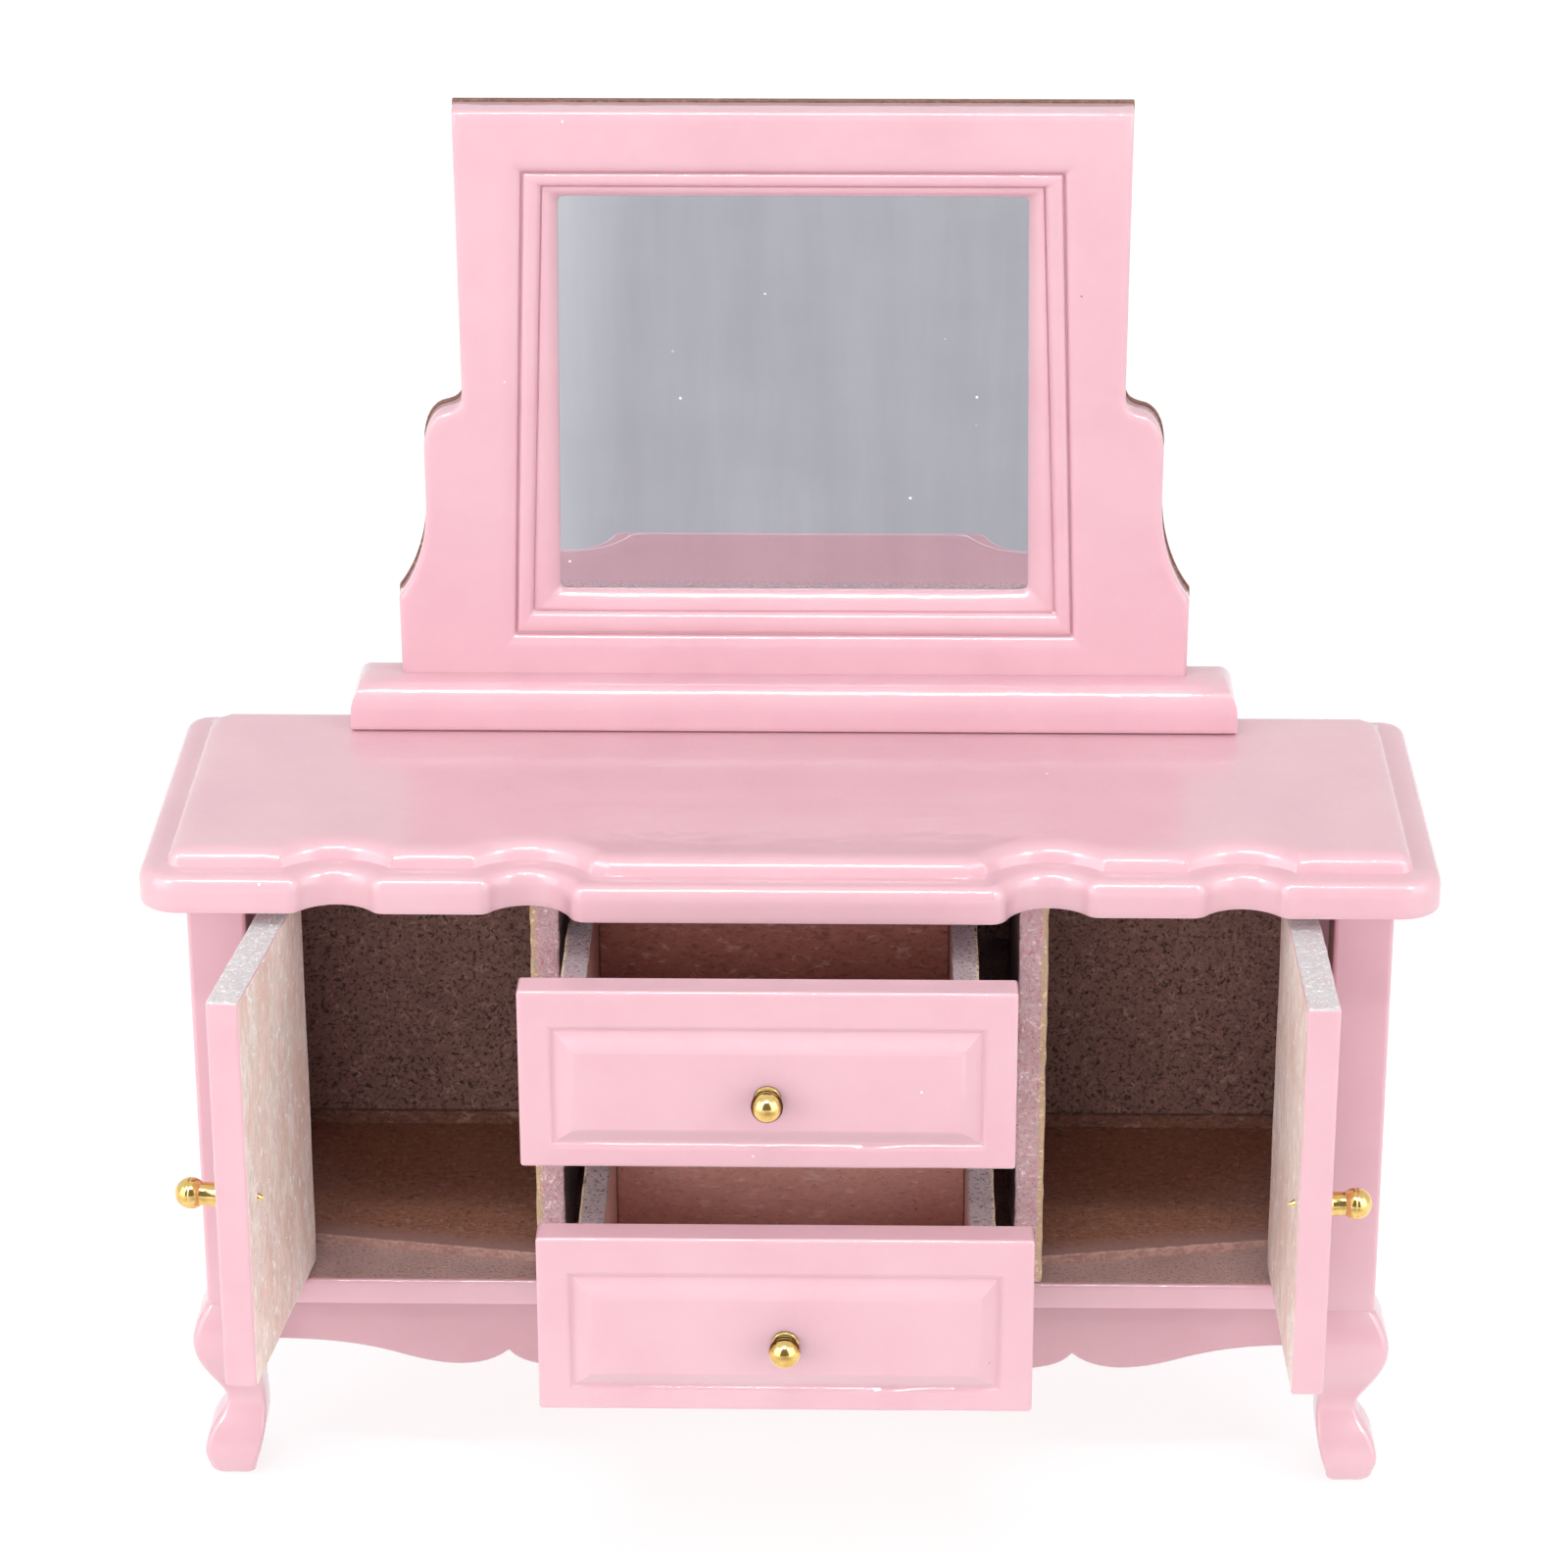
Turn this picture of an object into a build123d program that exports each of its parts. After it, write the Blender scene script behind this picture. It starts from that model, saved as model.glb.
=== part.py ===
from build123d import *
import math
import os

os.makedirs("parts", exist_ok=True)

# A miniature dressing table with two pin-hung doors, two drawers and a fixed mirror.
# Millimetres. The feet stand on z = 0, the doors face -Y and x = 0 is the middle.
# Depths are written as distances behind the carcass front plane and turned into
# y by the function back(), because the whole object is centred in depth as it
# stands, with its doors open and its drawers drawn out.

# ---- heights -------------------------------------------------------------
leg_height = 18.8
base_board_thickness = 2.7
inside_height = 40.8
top_thickness = 5.2
floor_top = leg_height + base_board_thickness
top_underside = floor_top + inside_height
top_surface = top_underside + top_thickness

# ---- carcass -------------------------------------------------------------
carcass_half_width = 56.05
carcass_depth = 33.6
post_size = 5.5
post_inner = carcass_half_width - post_size
side_set_in = 0.45
side_thickness = 2.6
side_inner = carcass_half_width - side_set_in - side_thickness
back_thickness = 1.7
back_front = carcass_depth - back_thickness
divider_inner = 21.4
divider_thickness = 2.7
divider_outer = divider_inner + divider_thickness
divider_set_back = 0.3
shelf_thickness = 2.6
shelf_underside = floor_top + (inside_height - shelf_thickness) / 2
shelf_top = shelf_underside + shelf_thickness
floor_sheet_thickness = 0.9
batten_thickness = 0.7
batten_height = 2.3
arris = 0.3

# ---- tabletop ------------------------------------------------------------
top_half_width = 60.0
top_overhang_front = 5.1
top_back_edge = 35.0
bow_overhang = 6.7
notch_radius = 4.3
notch_depth_line = 3.0
notch_near = 24.0
notch_far = 41.6
notch_corner = 1.6
top_front_corner = 4.0
top_back_corner = 2.6
top_band_height = 3.7
top_ledge = 2.6
top_ledge_round = 1.0
top_edge_round = 1.2

# ---- base: legs and aprons ------------------------------------------------
apron_thickness = 2.4
front_apron_set_back = 1.0
side_apron_set_in = 0.8
apron_end_drop = 4.4
apron_lobe_drop = 7.0
apron_cusp_drop = 5.5
apron_middle_drop = 8.4
side_apron_drop = 5.6

# ---- doors ---------------------------------------------------------------
door_thickness = 3.0
door_width = 25.6
door_height = 39.2
door_floor_gap = 0.3
pin_half_spacing = 47.4
pin_depth = 1.6
pin_to_hinge_edge = 2.8
pin_to_free_edge = door_width - pin_to_hinge_edge
left_door_opening = 97.0
right_door_opening = 91.0
pin_radius = 0.5
pin_running_clearance = 0.05
pin_in_door = 4.0
pin_in_case = 1.6
door_knob_from_free_edge = 3.9
door_knob_height = 17.8
drawer_knob_drop = 1.3

# ---- drawers ---------------------------------------------------------------
drawer_front_width = 44.9
drawer_front_height = 17.6
drawer_front_thickness = 3.2
drawer_box_half_width = 19.15
drawer_side_thickness = 2.4
drawer_side_height = 14.2
drawer_bottom_thickness = 1.2
drawer_box_length = 29.6
drawer_lift = 0.3
drawer_front_lift = 0.35
drawer_shut_gap = 0.15
upper_out = 15.6
lower_out = 21.6
upper_shift = -1.65
lower_shift = 0.0

# ---- raised panels on doors and drawer fronts --------------------------------
panel_rise = 0.8
panel_bevel = 1.9
drawer_panel_border = 2.35
drawer_panel_drop = 0.75
door_panel_border = 5.4

# ---- knobs -----------------------------------------------------------------
knob_radius = 1.45
left_door_knob_out = 3.3
right_door_knob_out = 2.6
drawer_knob_out = 1.7
knob_neck_radius = 1.1
knob_collar_radius = 1.25
knob_collar_rim = 0.15
knob_collar_height = 0.4
shank_radius = 0.4
shank_tip = 0.6

# ---- mirror ----------------------------------------------------------------
mirror_lean = 4.5
mirror_foot = 30.3
frame_thickness = 3.0
frame_height = 62.4
frame_top_half = 31.45
frame_waist_half = 35.25
frame_foot_half = 38.2
sweep_low = 12.8
sweep_high = 23.0
shoulder_low = 28.4
shoulder_high = 33.4
glass_half_width = 22.4
glass_low = 14.0
glass_high = 54.4
glass_depth = 2.3
glass_lap = 1.2
moulding_top_half = 25.2
moulding_foot_half = 27.0
moulding_low = 8.8
moulding_high = 56.4
moulding_step = 0.9
mirror_board_thickness = 1.0
plinth_half_width = 43.0
plinth_front = 26.4
plinth_back = 34.7
plinth_height = 4.8
plinth_round = 2.2

# ---- where the carcass front plane lies -----------------------------------
# Forward reach of the lower drawer's knob, and the tabletop's back edge.
drawer_face_shut = divider_set_back - drawer_shut_gap - drawer_front_thickness
knob_reach = panel_rise + drawer_knob_out + knob_radius
forward_reach = lower_out - drawer_face_shut + knob_reach
front_plane_y = (forward_reach - top_back_edge) / 2


def back(depth):
    """y of a plane this far behind the carcass front plane."""
    return front_plane_y + depth


def finish(piece, node):
    """Label a finished sub-part and write it."""
    piece.part.label = node
    export_step(piece.part, f"parts/{node}.step")


def board(node, x_span, depth_span, z_span, rounding=0.0):
    """A flat board given by its spans, with lightly rounded arrises."""
    with BuildPart() as piece:
        with BuildSketch(Plane.XY.offset(z_span[0])):
            middle = (sum(x_span) / 2, back(sum(depth_span) / 2))
            with Locations(middle):
                Rectangle(x_span[1] - x_span[0], depth_span[1] - depth_span[0])
        extrude(amount=z_span[1] - z_span[0])
        if rounding:
            fillet(piece.edges(), rounding)
    finish(piece, node)


def sides():
    """The two sides of the object: name and sign along X."""
    return (("left", -1), ("right", 1))


def span(a, b):
    """A pair in rising order."""
    return (min(a, b), max(a, b))


# ---- tabletop ----------------------------------------------------------------
def top_outline(plan):
    """Plan of the tabletop: a bowed centre and four scalloped notches in front."""
    front = -top_overhang_front
    with Locations((0, back((front + top_back_edge) / 2))):
        Rectangle(2 * top_half_width, top_back_edge - front)
    with Locations((0, back(-bow_overhang / 2))):
        Rectangle(2 * notch_near, bow_overhang)
    notch_y = back(-notch_depth_line - notch_radius)
    with Locations(*[(s * x, notch_y) for s in (-1, 1) for x in (notch_near, notch_far)]):
        Circle(notch_radius, mode=Mode.SUBTRACT)
    front_line = back(-notch_depth_line) - 0.1
    end_line = top_half_width - 0.1
    fillet([v for v in plan.vertices() if v.Y < front_line and abs(v.X) < end_line], notch_corner)
    fillet([v for v in plan.vertices() if v.Y < front_line and abs(v.X) > end_line], top_front_corner)
    fillet(plan.vertices().sort_by(Axis.Y)[-2:], top_back_corner)


with BuildPart() as tabletop:
    with BuildSketch(Plane.XY.offset(top_underside)) as band:
        top_outline(band)
    extrude(amount=top_band_height)
    with BuildSketch(Plane.XY.offset(top_underside + top_band_height)) as crown:
        top_outline(crown)
        offset(amount=-top_ledge)
    extrude(amount=top_thickness - top_band_height)
    levels = tabletop.faces().filter_by(Axis.Z).sort_by(Axis.Z)
    fillet(levels[-1].edges(), top_edge_round)
    ledge = tabletop.faces().filter_by(Axis.Z).sort_by(Axis.Z)[1]
    fillet(ledge.outer_wire().edges(), top_ledge_round)
    with BuildSketch(Plane.XY.offset(top_underside)):
        with Locations(*[(s * pin_half_spacing, back(pin_depth)) for s in (-1, 1)]):
            Circle(pin_radius)
    extrude(amount=pin_in_case, mode=Mode.SUBTRACT)
finish(tabletop, "tabletop")

# ---- posts, side panels, back, dividers, floor --------------------------------
for side, s in sides():
    for end, near, far in (
        ("front", 0.0, post_size),
        ("rear", carcass_depth - post_size, carcass_depth),
    ):
        board(
            f"{end}_{side}_post",
            span(s * post_inner, s * carcass_half_width),
            (near, far),
            (leg_height, top_underside),
            arris,
        )
    board(
        f"{side}_side_panel",
        span(s * side_inner, s * (side_inner + side_thickness)),
        (post_size, carcass_depth - post_size),
        (leg_height, top_underside),
    )
    board(
        f"{side}_divider",
        span(s * divider_inner, s * divider_outer),
        (divider_set_back, back_front),
        (floor_top, top_underside),
    )
    board(
        f"{side}_back_batten",
        span(s * divider_outer, s * post_inner),
        (back_front - batten_thickness, back_front),
        (floor_top + floor_sheet_thickness, floor_top + batten_height),
    )

board(
    "back_panel",
    (-post_inner, post_inner),
    (back_front, carcass_depth),
    (floor_top, top_underside),
)
board(
    "drawer_shelf",
    (-divider_inner, divider_inner),
    (divider_set_back, back_front),
    (shelf_underside, shelf_top),
)

with BuildPart() as bottom_board:
    with BuildSketch(Plane.XY.offset(leg_height)):
        with Locations((0, back(carcass_depth / 2))):
            Rectangle(2 * side_inner, carcass_depth)
        post_middle = post_inner + post_size / 2
        corners = [
            (s * post_middle, back(depth))
            for s in (-1, 1)
            for depth in (post_size / 2, carcass_depth - post_size / 2)
        ]
        with Locations(*corners):
            Rectangle(post_size, post_size, mode=Mode.SUBTRACT)
    extrude(amount=base_board_thickness)
    front_edges = bottom_board.edges().filter_by(Axis.X).group_by(Axis.Y)[0]
    fillet(front_edges, arris)
    with BuildSketch(Plane.XY.offset(floor_top)):
        with Locations(*[(s * pin_half_spacing, back(pin_depth)) for s in (-1, 1)]):
            Circle(pin_radius)
    extrude(amount=-pin_in_case, mode=Mode.SUBTRACT)
finish(bottom_board, "bottom_board")

# The floor sheets' front edges slant back towards the posts, clear of the doors.
sheet_front_at_divider = 3.8
sheet_front_at_side = 8.2
for side, s in sides():
    with BuildPart() as floor_sheet:
        with BuildSketch(Plane.XY.offset(floor_top)):
            with BuildLine():
                Polyline(
                    (s * divider_outer, back(sheet_front_at_divider)),
                    (s * divider_outer, back(back_front)),
                    (s * post_inner, back(back_front)),
                    (s * post_inner, back(sheet_front_at_side)),
                    close=True,
                )
            make_face()
        extrude(amount=floor_sheet_thickness)
    finish(floor_sheet, f"{side}_floor_sheet")

# ---- legs ----------------------------------------------------------------------
# One cabriole curve is cut on two faces. Each row is a height and the distances
# of the outer and the inner outline from the post's outer face; minus is outside.
leg_outer = [(18.8, 0.0), (15.2, -1.45), (9.6, 0.5), (7.4, 1.1), (2.6, -0.8), (0.9, -0.4)]
leg_inner = [(0.9, 3.8), (3.2, 4.6), (5.6, 5.0), (8.4, 4.95), (12.4, 4.9), (18.8, 5.5)]
foot_flat = (0.6, 3.1)


def leg_outline(corner, inward):
    """Lines of the leg's outline, from a corner position and the way inward."""
    outer = Spline(*[(corner + inward * d, z) for z, d in leg_outer])
    inner = Spline(*[(corner + inward * d, z) for z, d in leg_inner])
    toe = (corner + inward * foot_flat[0], 0)
    heel = (corner + inward * foot_flat[1], 0)
    Polyline(outer @ 1, toe, heel, inner @ 0)
    Line(inner @ 1, outer @ 0)


for side, s in sides():
    for end, corner_depth, rearward in (("front", 0.0, 1), ("rear", carcass_depth, -1)):
        with BuildPart() as leg:
            with BuildSketch(Plane.XZ.offset(-back(corner_depth))):
                with BuildLine():
                    leg_outline(s * carcass_half_width, -s)
                make_face()
            extrude(amount=2 * post_size, both=True)
            with BuildSketch(Plane.YZ.offset(s * carcass_half_width)):
                with BuildLine():
                    leg_outline(back(corner_depth), rearward)
                make_face()
            extrude(amount=2 * post_size, both=True, mode=Mode.INTERSECT)
        finish(leg, f"{end}_{side}_leg")

# ---- aprons ----------------------------------------------------------------------
with BuildPart() as front_apron:
    apron_depth = front_apron_set_back + apron_thickness
    with BuildSketch(Plane.XZ.offset(-back(apron_depth))):
        with BuildLine():
            end_point = (post_inner, leg_height - apron_end_drop)
            cusp = (27.2, leg_height - apron_cusp_drop)
            lobe = Spline(
                end_point,
                (41.0, leg_height - apron_end_drop - 0.5),
                (31.8, leg_height - apron_lobe_drop),
                cusp,
                tangents=((-1, 0), (-0.6, 1)),
            )
            Spline(
                cusp,
                (23.8, leg_height - apron_lobe_drop),
                (0, leg_height - apron_middle_drop),
                tangents=((-0.6, -1), (-1, 0)),
            )
            Line((post_inner, leg_height), end_point)
            Line((0, leg_height), (post_inner, leg_height))
            mirror(about=Plane.YZ)
        make_face()
    extrude(amount=apron_thickness)
finish(front_apron, "front_apron")

for side, s in sides():
    with BuildPart() as side_apron:
        inner_face = s * (carcass_half_width - side_apron_set_in - apron_thickness)
        near, far = back(post_size), back(carcass_depth - post_size)
        with BuildSketch(Plane.YZ.offset(min(inner_face, inner_face + s * apron_thickness))):
            with BuildLine():
                Line((near, leg_height), (far, leg_height))
                Line((far, leg_height), (far, leg_height - apron_end_drop))
                Spline(
                    (far, leg_height - apron_end_drop),
                    ((near + far) / 2, leg_height - side_apron_drop - 0.6),
                    (near, leg_height - apron_end_drop),
                )
                Line((near, leg_height - apron_end_drop), (near, leg_height))
            make_face()
        extrude(amount=apron_thickness)
    finish(side_apron, f"{side}_side_apron")


# ---- knobs -------------------------------------------------------------------------
def knob(node, face, held_thickness, stand_off):
    """A ball knob on a nail; the plane is the outer face, with its normal outwards."""
    half_plane = Plane(face.origin, x_dir=face.x_dir, z_dir=face.x_dir.cross(face.z_dir))
    tip = -(held_thickness + shank_tip)
    neck_top = stand_off - math.sqrt(knob_radius**2 - knob_neck_radius**2)
    with BuildPart() as piece:
        with BuildSketch(half_plane):
            with BuildLine():
                Polyline(
                    (0, stand_off + knob_radius),
                    (0, tip),
                    (shank_radius, tip),
                    (shank_radius, 0),
                    (knob_collar_radius, 0),
                    (knob_collar_radius, knob_collar_rim),
                    (knob_neck_radius, knob_collar_height),
                    (knob_neck_radius, neck_top),
                )
                ThreePointArc(
                    (knob_neck_radius, neck_top),
                    (knob_radius, stand_off),
                    (0, stand_off + knob_radius),
                )
            make_face()
        revolve(axis=Axis(face.origin, face.z_dir))
    finish(piece, node)


# ---- doors -------------------------------------------------------------------------
door_bottom = floor_top + door_floor_gap
door_middle = (pin_to_free_edge - pin_to_hinge_edge) / 2


def build_door(side, s, opening, knob_out):
    """A door swung open about its pin; s is the door's side along X."""
    angle = math.radians(opening)
    along = Vector(-s * math.cos(angle), -math.sin(angle), 0)
    outward = Vector(s * math.sin(angle), -math.cos(angle), 0)
    upward = Vector(0, 0, 1)
    pin = Vector(s * pin_half_spacing, back(pin_depth), door_bottom)
    plan = Plane(origin=pin, x_dir=along, z_dir=upward)
    centre = pin + along * door_middle + upward * (door_height / 2)
    across = along * -s
    face = Plane(origin=centre + outward * (door_thickness / 2), x_dir=across, z_dir=outward)
    with BuildPart() as door:
        with BuildSketch(plan):
            with Locations((door_middle, 0)):
                Rectangle(door_width, door_thickness)
        extrude(amount=door_height)
        hinge_edges = door.edges().filter_by(Axis.Z).sort_by_distance(pin)[:2]
        fillet(hinge_edges, door_thickness / 2 - 0.05)
        with BuildSketch(face):
            inset = 2 * door_panel_border
            Rectangle(door_width - inset, door_height - inset)
        with BuildSketch(face.offset(panel_rise)):
            inset = 2 * (door_panel_border + panel_bevel)
            Rectangle(door_width - inset, door_height - inset)
        loft()
        knob_x = -s * (door_width / 2 - door_knob_from_free_edge)
        knob_y = door_knob_height - door_height / 2
        with BuildSketch(face):
            with Locations((knob_x, knob_y)):
                Circle(shank_radius)
        extrude(amount=-door_thickness, mode=Mode.SUBTRACT)
        for level, way in ((0, 1), (door_height, -1)):
            with BuildSketch(plan.offset(level)):
                Circle(pin_radius + pin_running_clearance)
            extrude(amount=way * pin_in_door, mode=Mode.SUBTRACT)
    finish(door, f"{side}_door")
    knob_at = face.origin + across * knob_x + upward * knob_y
    knob_face = Plane(knob_at, x_dir=across, z_dir=outward)
    knob(f"{side}_door_knob", knob_face, door_thickness, knob_out)


build_door("left", -1, left_door_opening, left_door_knob_out)
build_door("right", 1, right_door_opening, right_door_knob_out)

# Four plain pins: one at the foot and one at the head of each door.
pin_end_gap = 0.3
with BuildPart() as hinge_pins:
    pin_places = [(s * pin_half_spacing, back(pin_depth)) for s in (-1, 1)]
    pin_length = pin_in_door - pin_end_gap
    foot_pin_start = floor_top - pin_in_case
    foot_pin_end = door_bottom + pin_length
    head_pin_start = door_bottom + door_height - pin_length
    head_pin_end = top_underside + pin_in_case
    for start, end in ((foot_pin_start, foot_pin_end), (head_pin_start, head_pin_end)):
        with BuildSketch(Plane.XY.offset(start)):
            with Locations(*pin_places):
                Circle(pin_radius)
        extrude(amount=end - start)
finish(hinge_pins, "door_hinge_pins")


# ---- drawers -------------------------------------------------------------------------
def build_drawer(level, floor, out, shift):
    """A drawer drawn out this far and lying this far off the middle."""
    face_depth = drawer_face_shut - out
    box_start = face_depth + drawer_front_thickness
    box_end = box_start + drawer_box_length
    box_floor = floor + drawer_lift
    front_middle = floor + drawer_front_lift + drawer_front_height / 2
    face = Plane(
        origin=(shift, back(face_depth), front_middle), x_dir=(1, 0, 0), z_dir=(0, -1, 0)
    )
    panel = Plane(
        origin=(shift, back(face_depth), front_middle - drawer_panel_drop),
        x_dir=(1, 0, 0),
        z_dir=(0, -1, 0),
    )
    field = panel.offset(panel_rise)
    knob_face = Plane(
        origin=(shift, back(face_depth) - panel_rise, front_middle - drawer_knob_drop),
        x_dir=(1, 0, 0),
        z_dir=(0, -1, 0),
    )
    with BuildPart() as front:
        with BuildSketch(face):
            Rectangle(drawer_front_width, drawer_front_height)
        extrude(amount=-drawer_front_thickness)
        fillet(front.edges(), arris)
        with BuildSketch(panel):
            inset = 2 * drawer_panel_border
            Rectangle(drawer_front_width - inset, drawer_front_height - inset)
        with BuildSketch(field):
            inset = 2 * (drawer_panel_border + panel_bevel)
            Rectangle(drawer_front_width - inset, drawer_front_height - inset)
        loft()
        with BuildSketch(knob_face):
            Circle(shank_radius)
        extrude(amount=-(drawer_front_thickness + panel_rise), mode=Mode.SUBTRACT)
    finish(front, f"{level}_drawer_front")
    knob_hold = drawer_front_thickness + panel_rise
    knob(f"{level}_drawer_knob", knob_face, knob_hold, drawer_knob_out)

    side_z = (box_floor, box_floor + drawer_side_height)
    inner = drawer_box_half_width - drawer_side_thickness
    for side, s in sides():
        board(
            f"{level}_drawer_{side}_side",
            span(shift + s * inner, shift + s * drawer_box_half_width),
            (box_start, box_end),
            side_z,
        )
    across = (shift - inner, shift + inner)
    back_board_start = box_end - drawer_side_thickness
    board(f"{level}_drawer_back", across, (back_board_start, box_end), side_z)
    board(
        f"{level}_drawer_bottom",
        across,
        (box_start, back_board_start),
        (box_floor, box_floor + drawer_bottom_thickness),
    )


build_drawer("upper", shelf_top, upper_out, upper_shift)
build_drawer("lower", floor_top, lower_out, lower_shift)

# ---- mirror ----------------------------------------------------------------------------
plinth_top = top_surface + plinth_height
with BuildPart() as mirror_plinth:
    with BuildSketch(Plane.XY.offset(top_surface)):
        with Locations((0, back((plinth_front + plinth_back) / 2))):
            Rectangle(2 * plinth_half_width, plinth_back - plinth_front)
    extrude(amount=plinth_height)
    rim = mirror_plinth.faces().sort_by(Axis.Z)[-1].edges().sort_by(Axis.Y)[:3]
    fillet(rim, plinth_round)
finish(mirror_plinth, "mirror_plinth")

lean = math.radians(mirror_lean)
frame_face = Plane(
    origin=(0, back(mirror_foot), top_surface),
    x_dir=(1, 0, 0),
    z_dir=(0, -math.cos(lean), -math.sin(lean)),
)


def frame_outline():
    """Lines of the frame's face: straight above, shouldered and swept out below."""
    Polyline((0, 0), (frame_foot_half, 0), (frame_foot_half, sweep_low))
    ThreePointArc(
        (frame_foot_half, sweep_low),
        (frame_waist_half + 1.1, sweep_low + 3.8),
        (frame_waist_half, sweep_high),
    )
    Line((frame_waist_half, sweep_high), (frame_waist_half, shoulder_low))
    shoulder = ThreePointArc(
        (frame_waist_half, shoulder_low),
        (frame_waist_half - 0.9, shoulder_low + 2.5),
        (frame_waist_half - 2.2, shoulder_low + 3.8),
    )
    Polyline(
        shoulder @ 1,
        (frame_top_half, shoulder_high),
        (frame_top_half, frame_height),
        (0, frame_height),
    )
    mirror(about=Plane.YZ)


with BuildPart() as mirror_frame:
    with BuildSketch(frame_face):
        with BuildLine():
            frame_outline()
        make_face()
    extrude(amount=-frame_thickness)
    with BuildSketch(frame_face):
        with BuildLine():
            Polyline(
                (-moulding_foot_half, moulding_low),
                (moulding_foot_half, moulding_low),
                (moulding_top_half, moulding_high),
                (-moulding_top_half, moulding_high),
                close=True,
            )
        make_face()
    extrude(amount=-moulding_step, mode=Mode.SUBTRACT)
    glass_middle = (glass_low + glass_high) / 2
    glass_height = glass_high - glass_low
    with BuildSketch(frame_face):
        with Locations((0, glass_middle)):
            Rectangle(2 * glass_half_width, glass_height)
    extrude(amount=-frame_thickness, mode=Mode.SUBTRACT)
    with BuildSketch(frame_face.offset(-frame_thickness)):
        with Locations((0, glass_middle)):
            Rectangle(2 * (glass_half_width + glass_lap), glass_height + 2 * glass_lap)
    extrude(amount=frame_thickness - glass_depth, mode=Mode.SUBTRACT)
    split(bisect_by=Plane.XY.offset(plinth_top), keep=Keep.TOP)
finish(mirror_frame, "mirror_frame")

with BuildPart() as mirror_glass:
    with BuildSketch(frame_face.offset(-frame_thickness)):
        with Locations((0, glass_middle)):
            Rectangle(2 * (glass_half_width + glass_lap), glass_height + 2 * glass_lap)
    extrude(amount=frame_thickness - glass_depth)
finish(mirror_glass, "mirror_glass")

with BuildPart() as mirror_back_board:
    with BuildSketch(frame_face.offset(-frame_thickness)):
        with BuildLine():
            frame_outline()
        make_face()
    extrude(amount=-mirror_board_thickness)
    split(bisect_by=Plane.XY.offset(plinth_top), keep=Keep.TOP)
finish(mirror_back_board, "mirror_back_board")
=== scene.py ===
"""A miniature dressing table in glossy pink lacquer. Shapes are written in millimetres."""

import bmesh
import bpy
import math
import numpy as np
import random

from mathutils import Matrix, Vector, noise


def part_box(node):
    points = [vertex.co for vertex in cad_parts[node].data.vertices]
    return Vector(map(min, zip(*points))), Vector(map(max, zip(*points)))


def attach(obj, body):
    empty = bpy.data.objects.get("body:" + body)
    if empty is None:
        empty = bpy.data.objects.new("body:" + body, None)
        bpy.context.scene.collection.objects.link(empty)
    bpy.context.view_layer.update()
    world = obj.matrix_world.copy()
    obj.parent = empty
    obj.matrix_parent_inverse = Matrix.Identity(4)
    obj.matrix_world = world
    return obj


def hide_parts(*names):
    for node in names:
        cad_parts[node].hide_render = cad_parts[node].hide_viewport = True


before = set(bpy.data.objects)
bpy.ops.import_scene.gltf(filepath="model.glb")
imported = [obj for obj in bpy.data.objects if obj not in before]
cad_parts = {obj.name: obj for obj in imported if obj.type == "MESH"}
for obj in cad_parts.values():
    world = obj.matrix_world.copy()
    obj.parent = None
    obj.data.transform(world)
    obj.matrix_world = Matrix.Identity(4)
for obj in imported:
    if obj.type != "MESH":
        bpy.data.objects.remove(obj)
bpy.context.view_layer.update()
MM = 0.001

# ---- dimensions shared with the CAD model ----
FRONT_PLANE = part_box("front_left_post")[0].y / MM
FLOOR_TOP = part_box("bottom_board")[1].z / MM
TOP_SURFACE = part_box("tabletop")[1].z / MM
LEG_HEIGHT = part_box("bottom_board")[0].z / MM
CARCASS_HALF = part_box("front_right_post")[1].x / MM
CARCASS_DEPTH = 33.6
POST = 5.5
CUPBOARD_IN = 24.1
CUPBOARD_OUT = CARCASS_HALF - POST
PIN_HALF = 47.4
PIN_DEPTH = 1.6
SIDES = (("left", -1), ("right", 1))


def back(depth):
    """y of a plane this far behind the carcass front plane."""
    return FRONT_PLANE + depth


def node_box(node):
    """Corners of a CAD node in millimetres."""
    lo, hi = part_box(node)
    return lo / MM, hi / MM


# ==== materials ====
def node_adder(tree):
    """A function that adds a node to the tree and sets or links its inputs."""
    def add(kind, inputs=None, **settings):
        node = tree.nodes.new(kind)
        for key, value in settings.items():
            setattr(node, key, value)
        for key, value in (inputs or {}).items():
            if isinstance(value, bpy.types.NodeSocket):
                tree.links.new(value, node.inputs[key])
            else:
                node.inputs[key].default_value = value
        return node
    return add


def new_material(name):
    """An empty node material and a function that adds nodes to it."""
    material = bpy.data.materials.new(name)
    material.use_nodes = True
    material.node_tree.nodes.clear()
    return material, node_adder(material.node_tree)


def surface(add, inputs):
    """Ends a material with its shader and output."""
    shader = add("ShaderNodeBsdfPrincipled", inputs)
    add("ShaderNodeOutputMaterial", {"Surface": shader.outputs[0]})


def object_coords(add, scale=(1000, 1000, 1000)):
    """Object coordinates in millimetres, stretched by the scale."""
    coords = add("ShaderNodeTexCoord")
    mapping = add("ShaderNodeMapping", {"Vector": coords.outputs["Object"], "Scale": scale})
    return mapping.outputs["Vector"]


def component(add, where, axis):
    """One coordinate of a vector."""
    return add("ShaderNodeSeparateXYZ", {"Vector": where}).outputs[axis]


def maths(add, operation, first, *second):
    """One arithmetic step on values or sockets."""
    return add("ShaderNodeMath", dict(enumerate((first, *second))), operation=operation).outputs[0]


def shifted(add, where, x, y, z):
    """A vector shifted by a fixed amount, so that two patterns don't coincide."""
    return add("ShaderNodeVectorMath", {0: where, 1: (x, y, z)}, operation="ADD").outputs[0]


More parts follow.
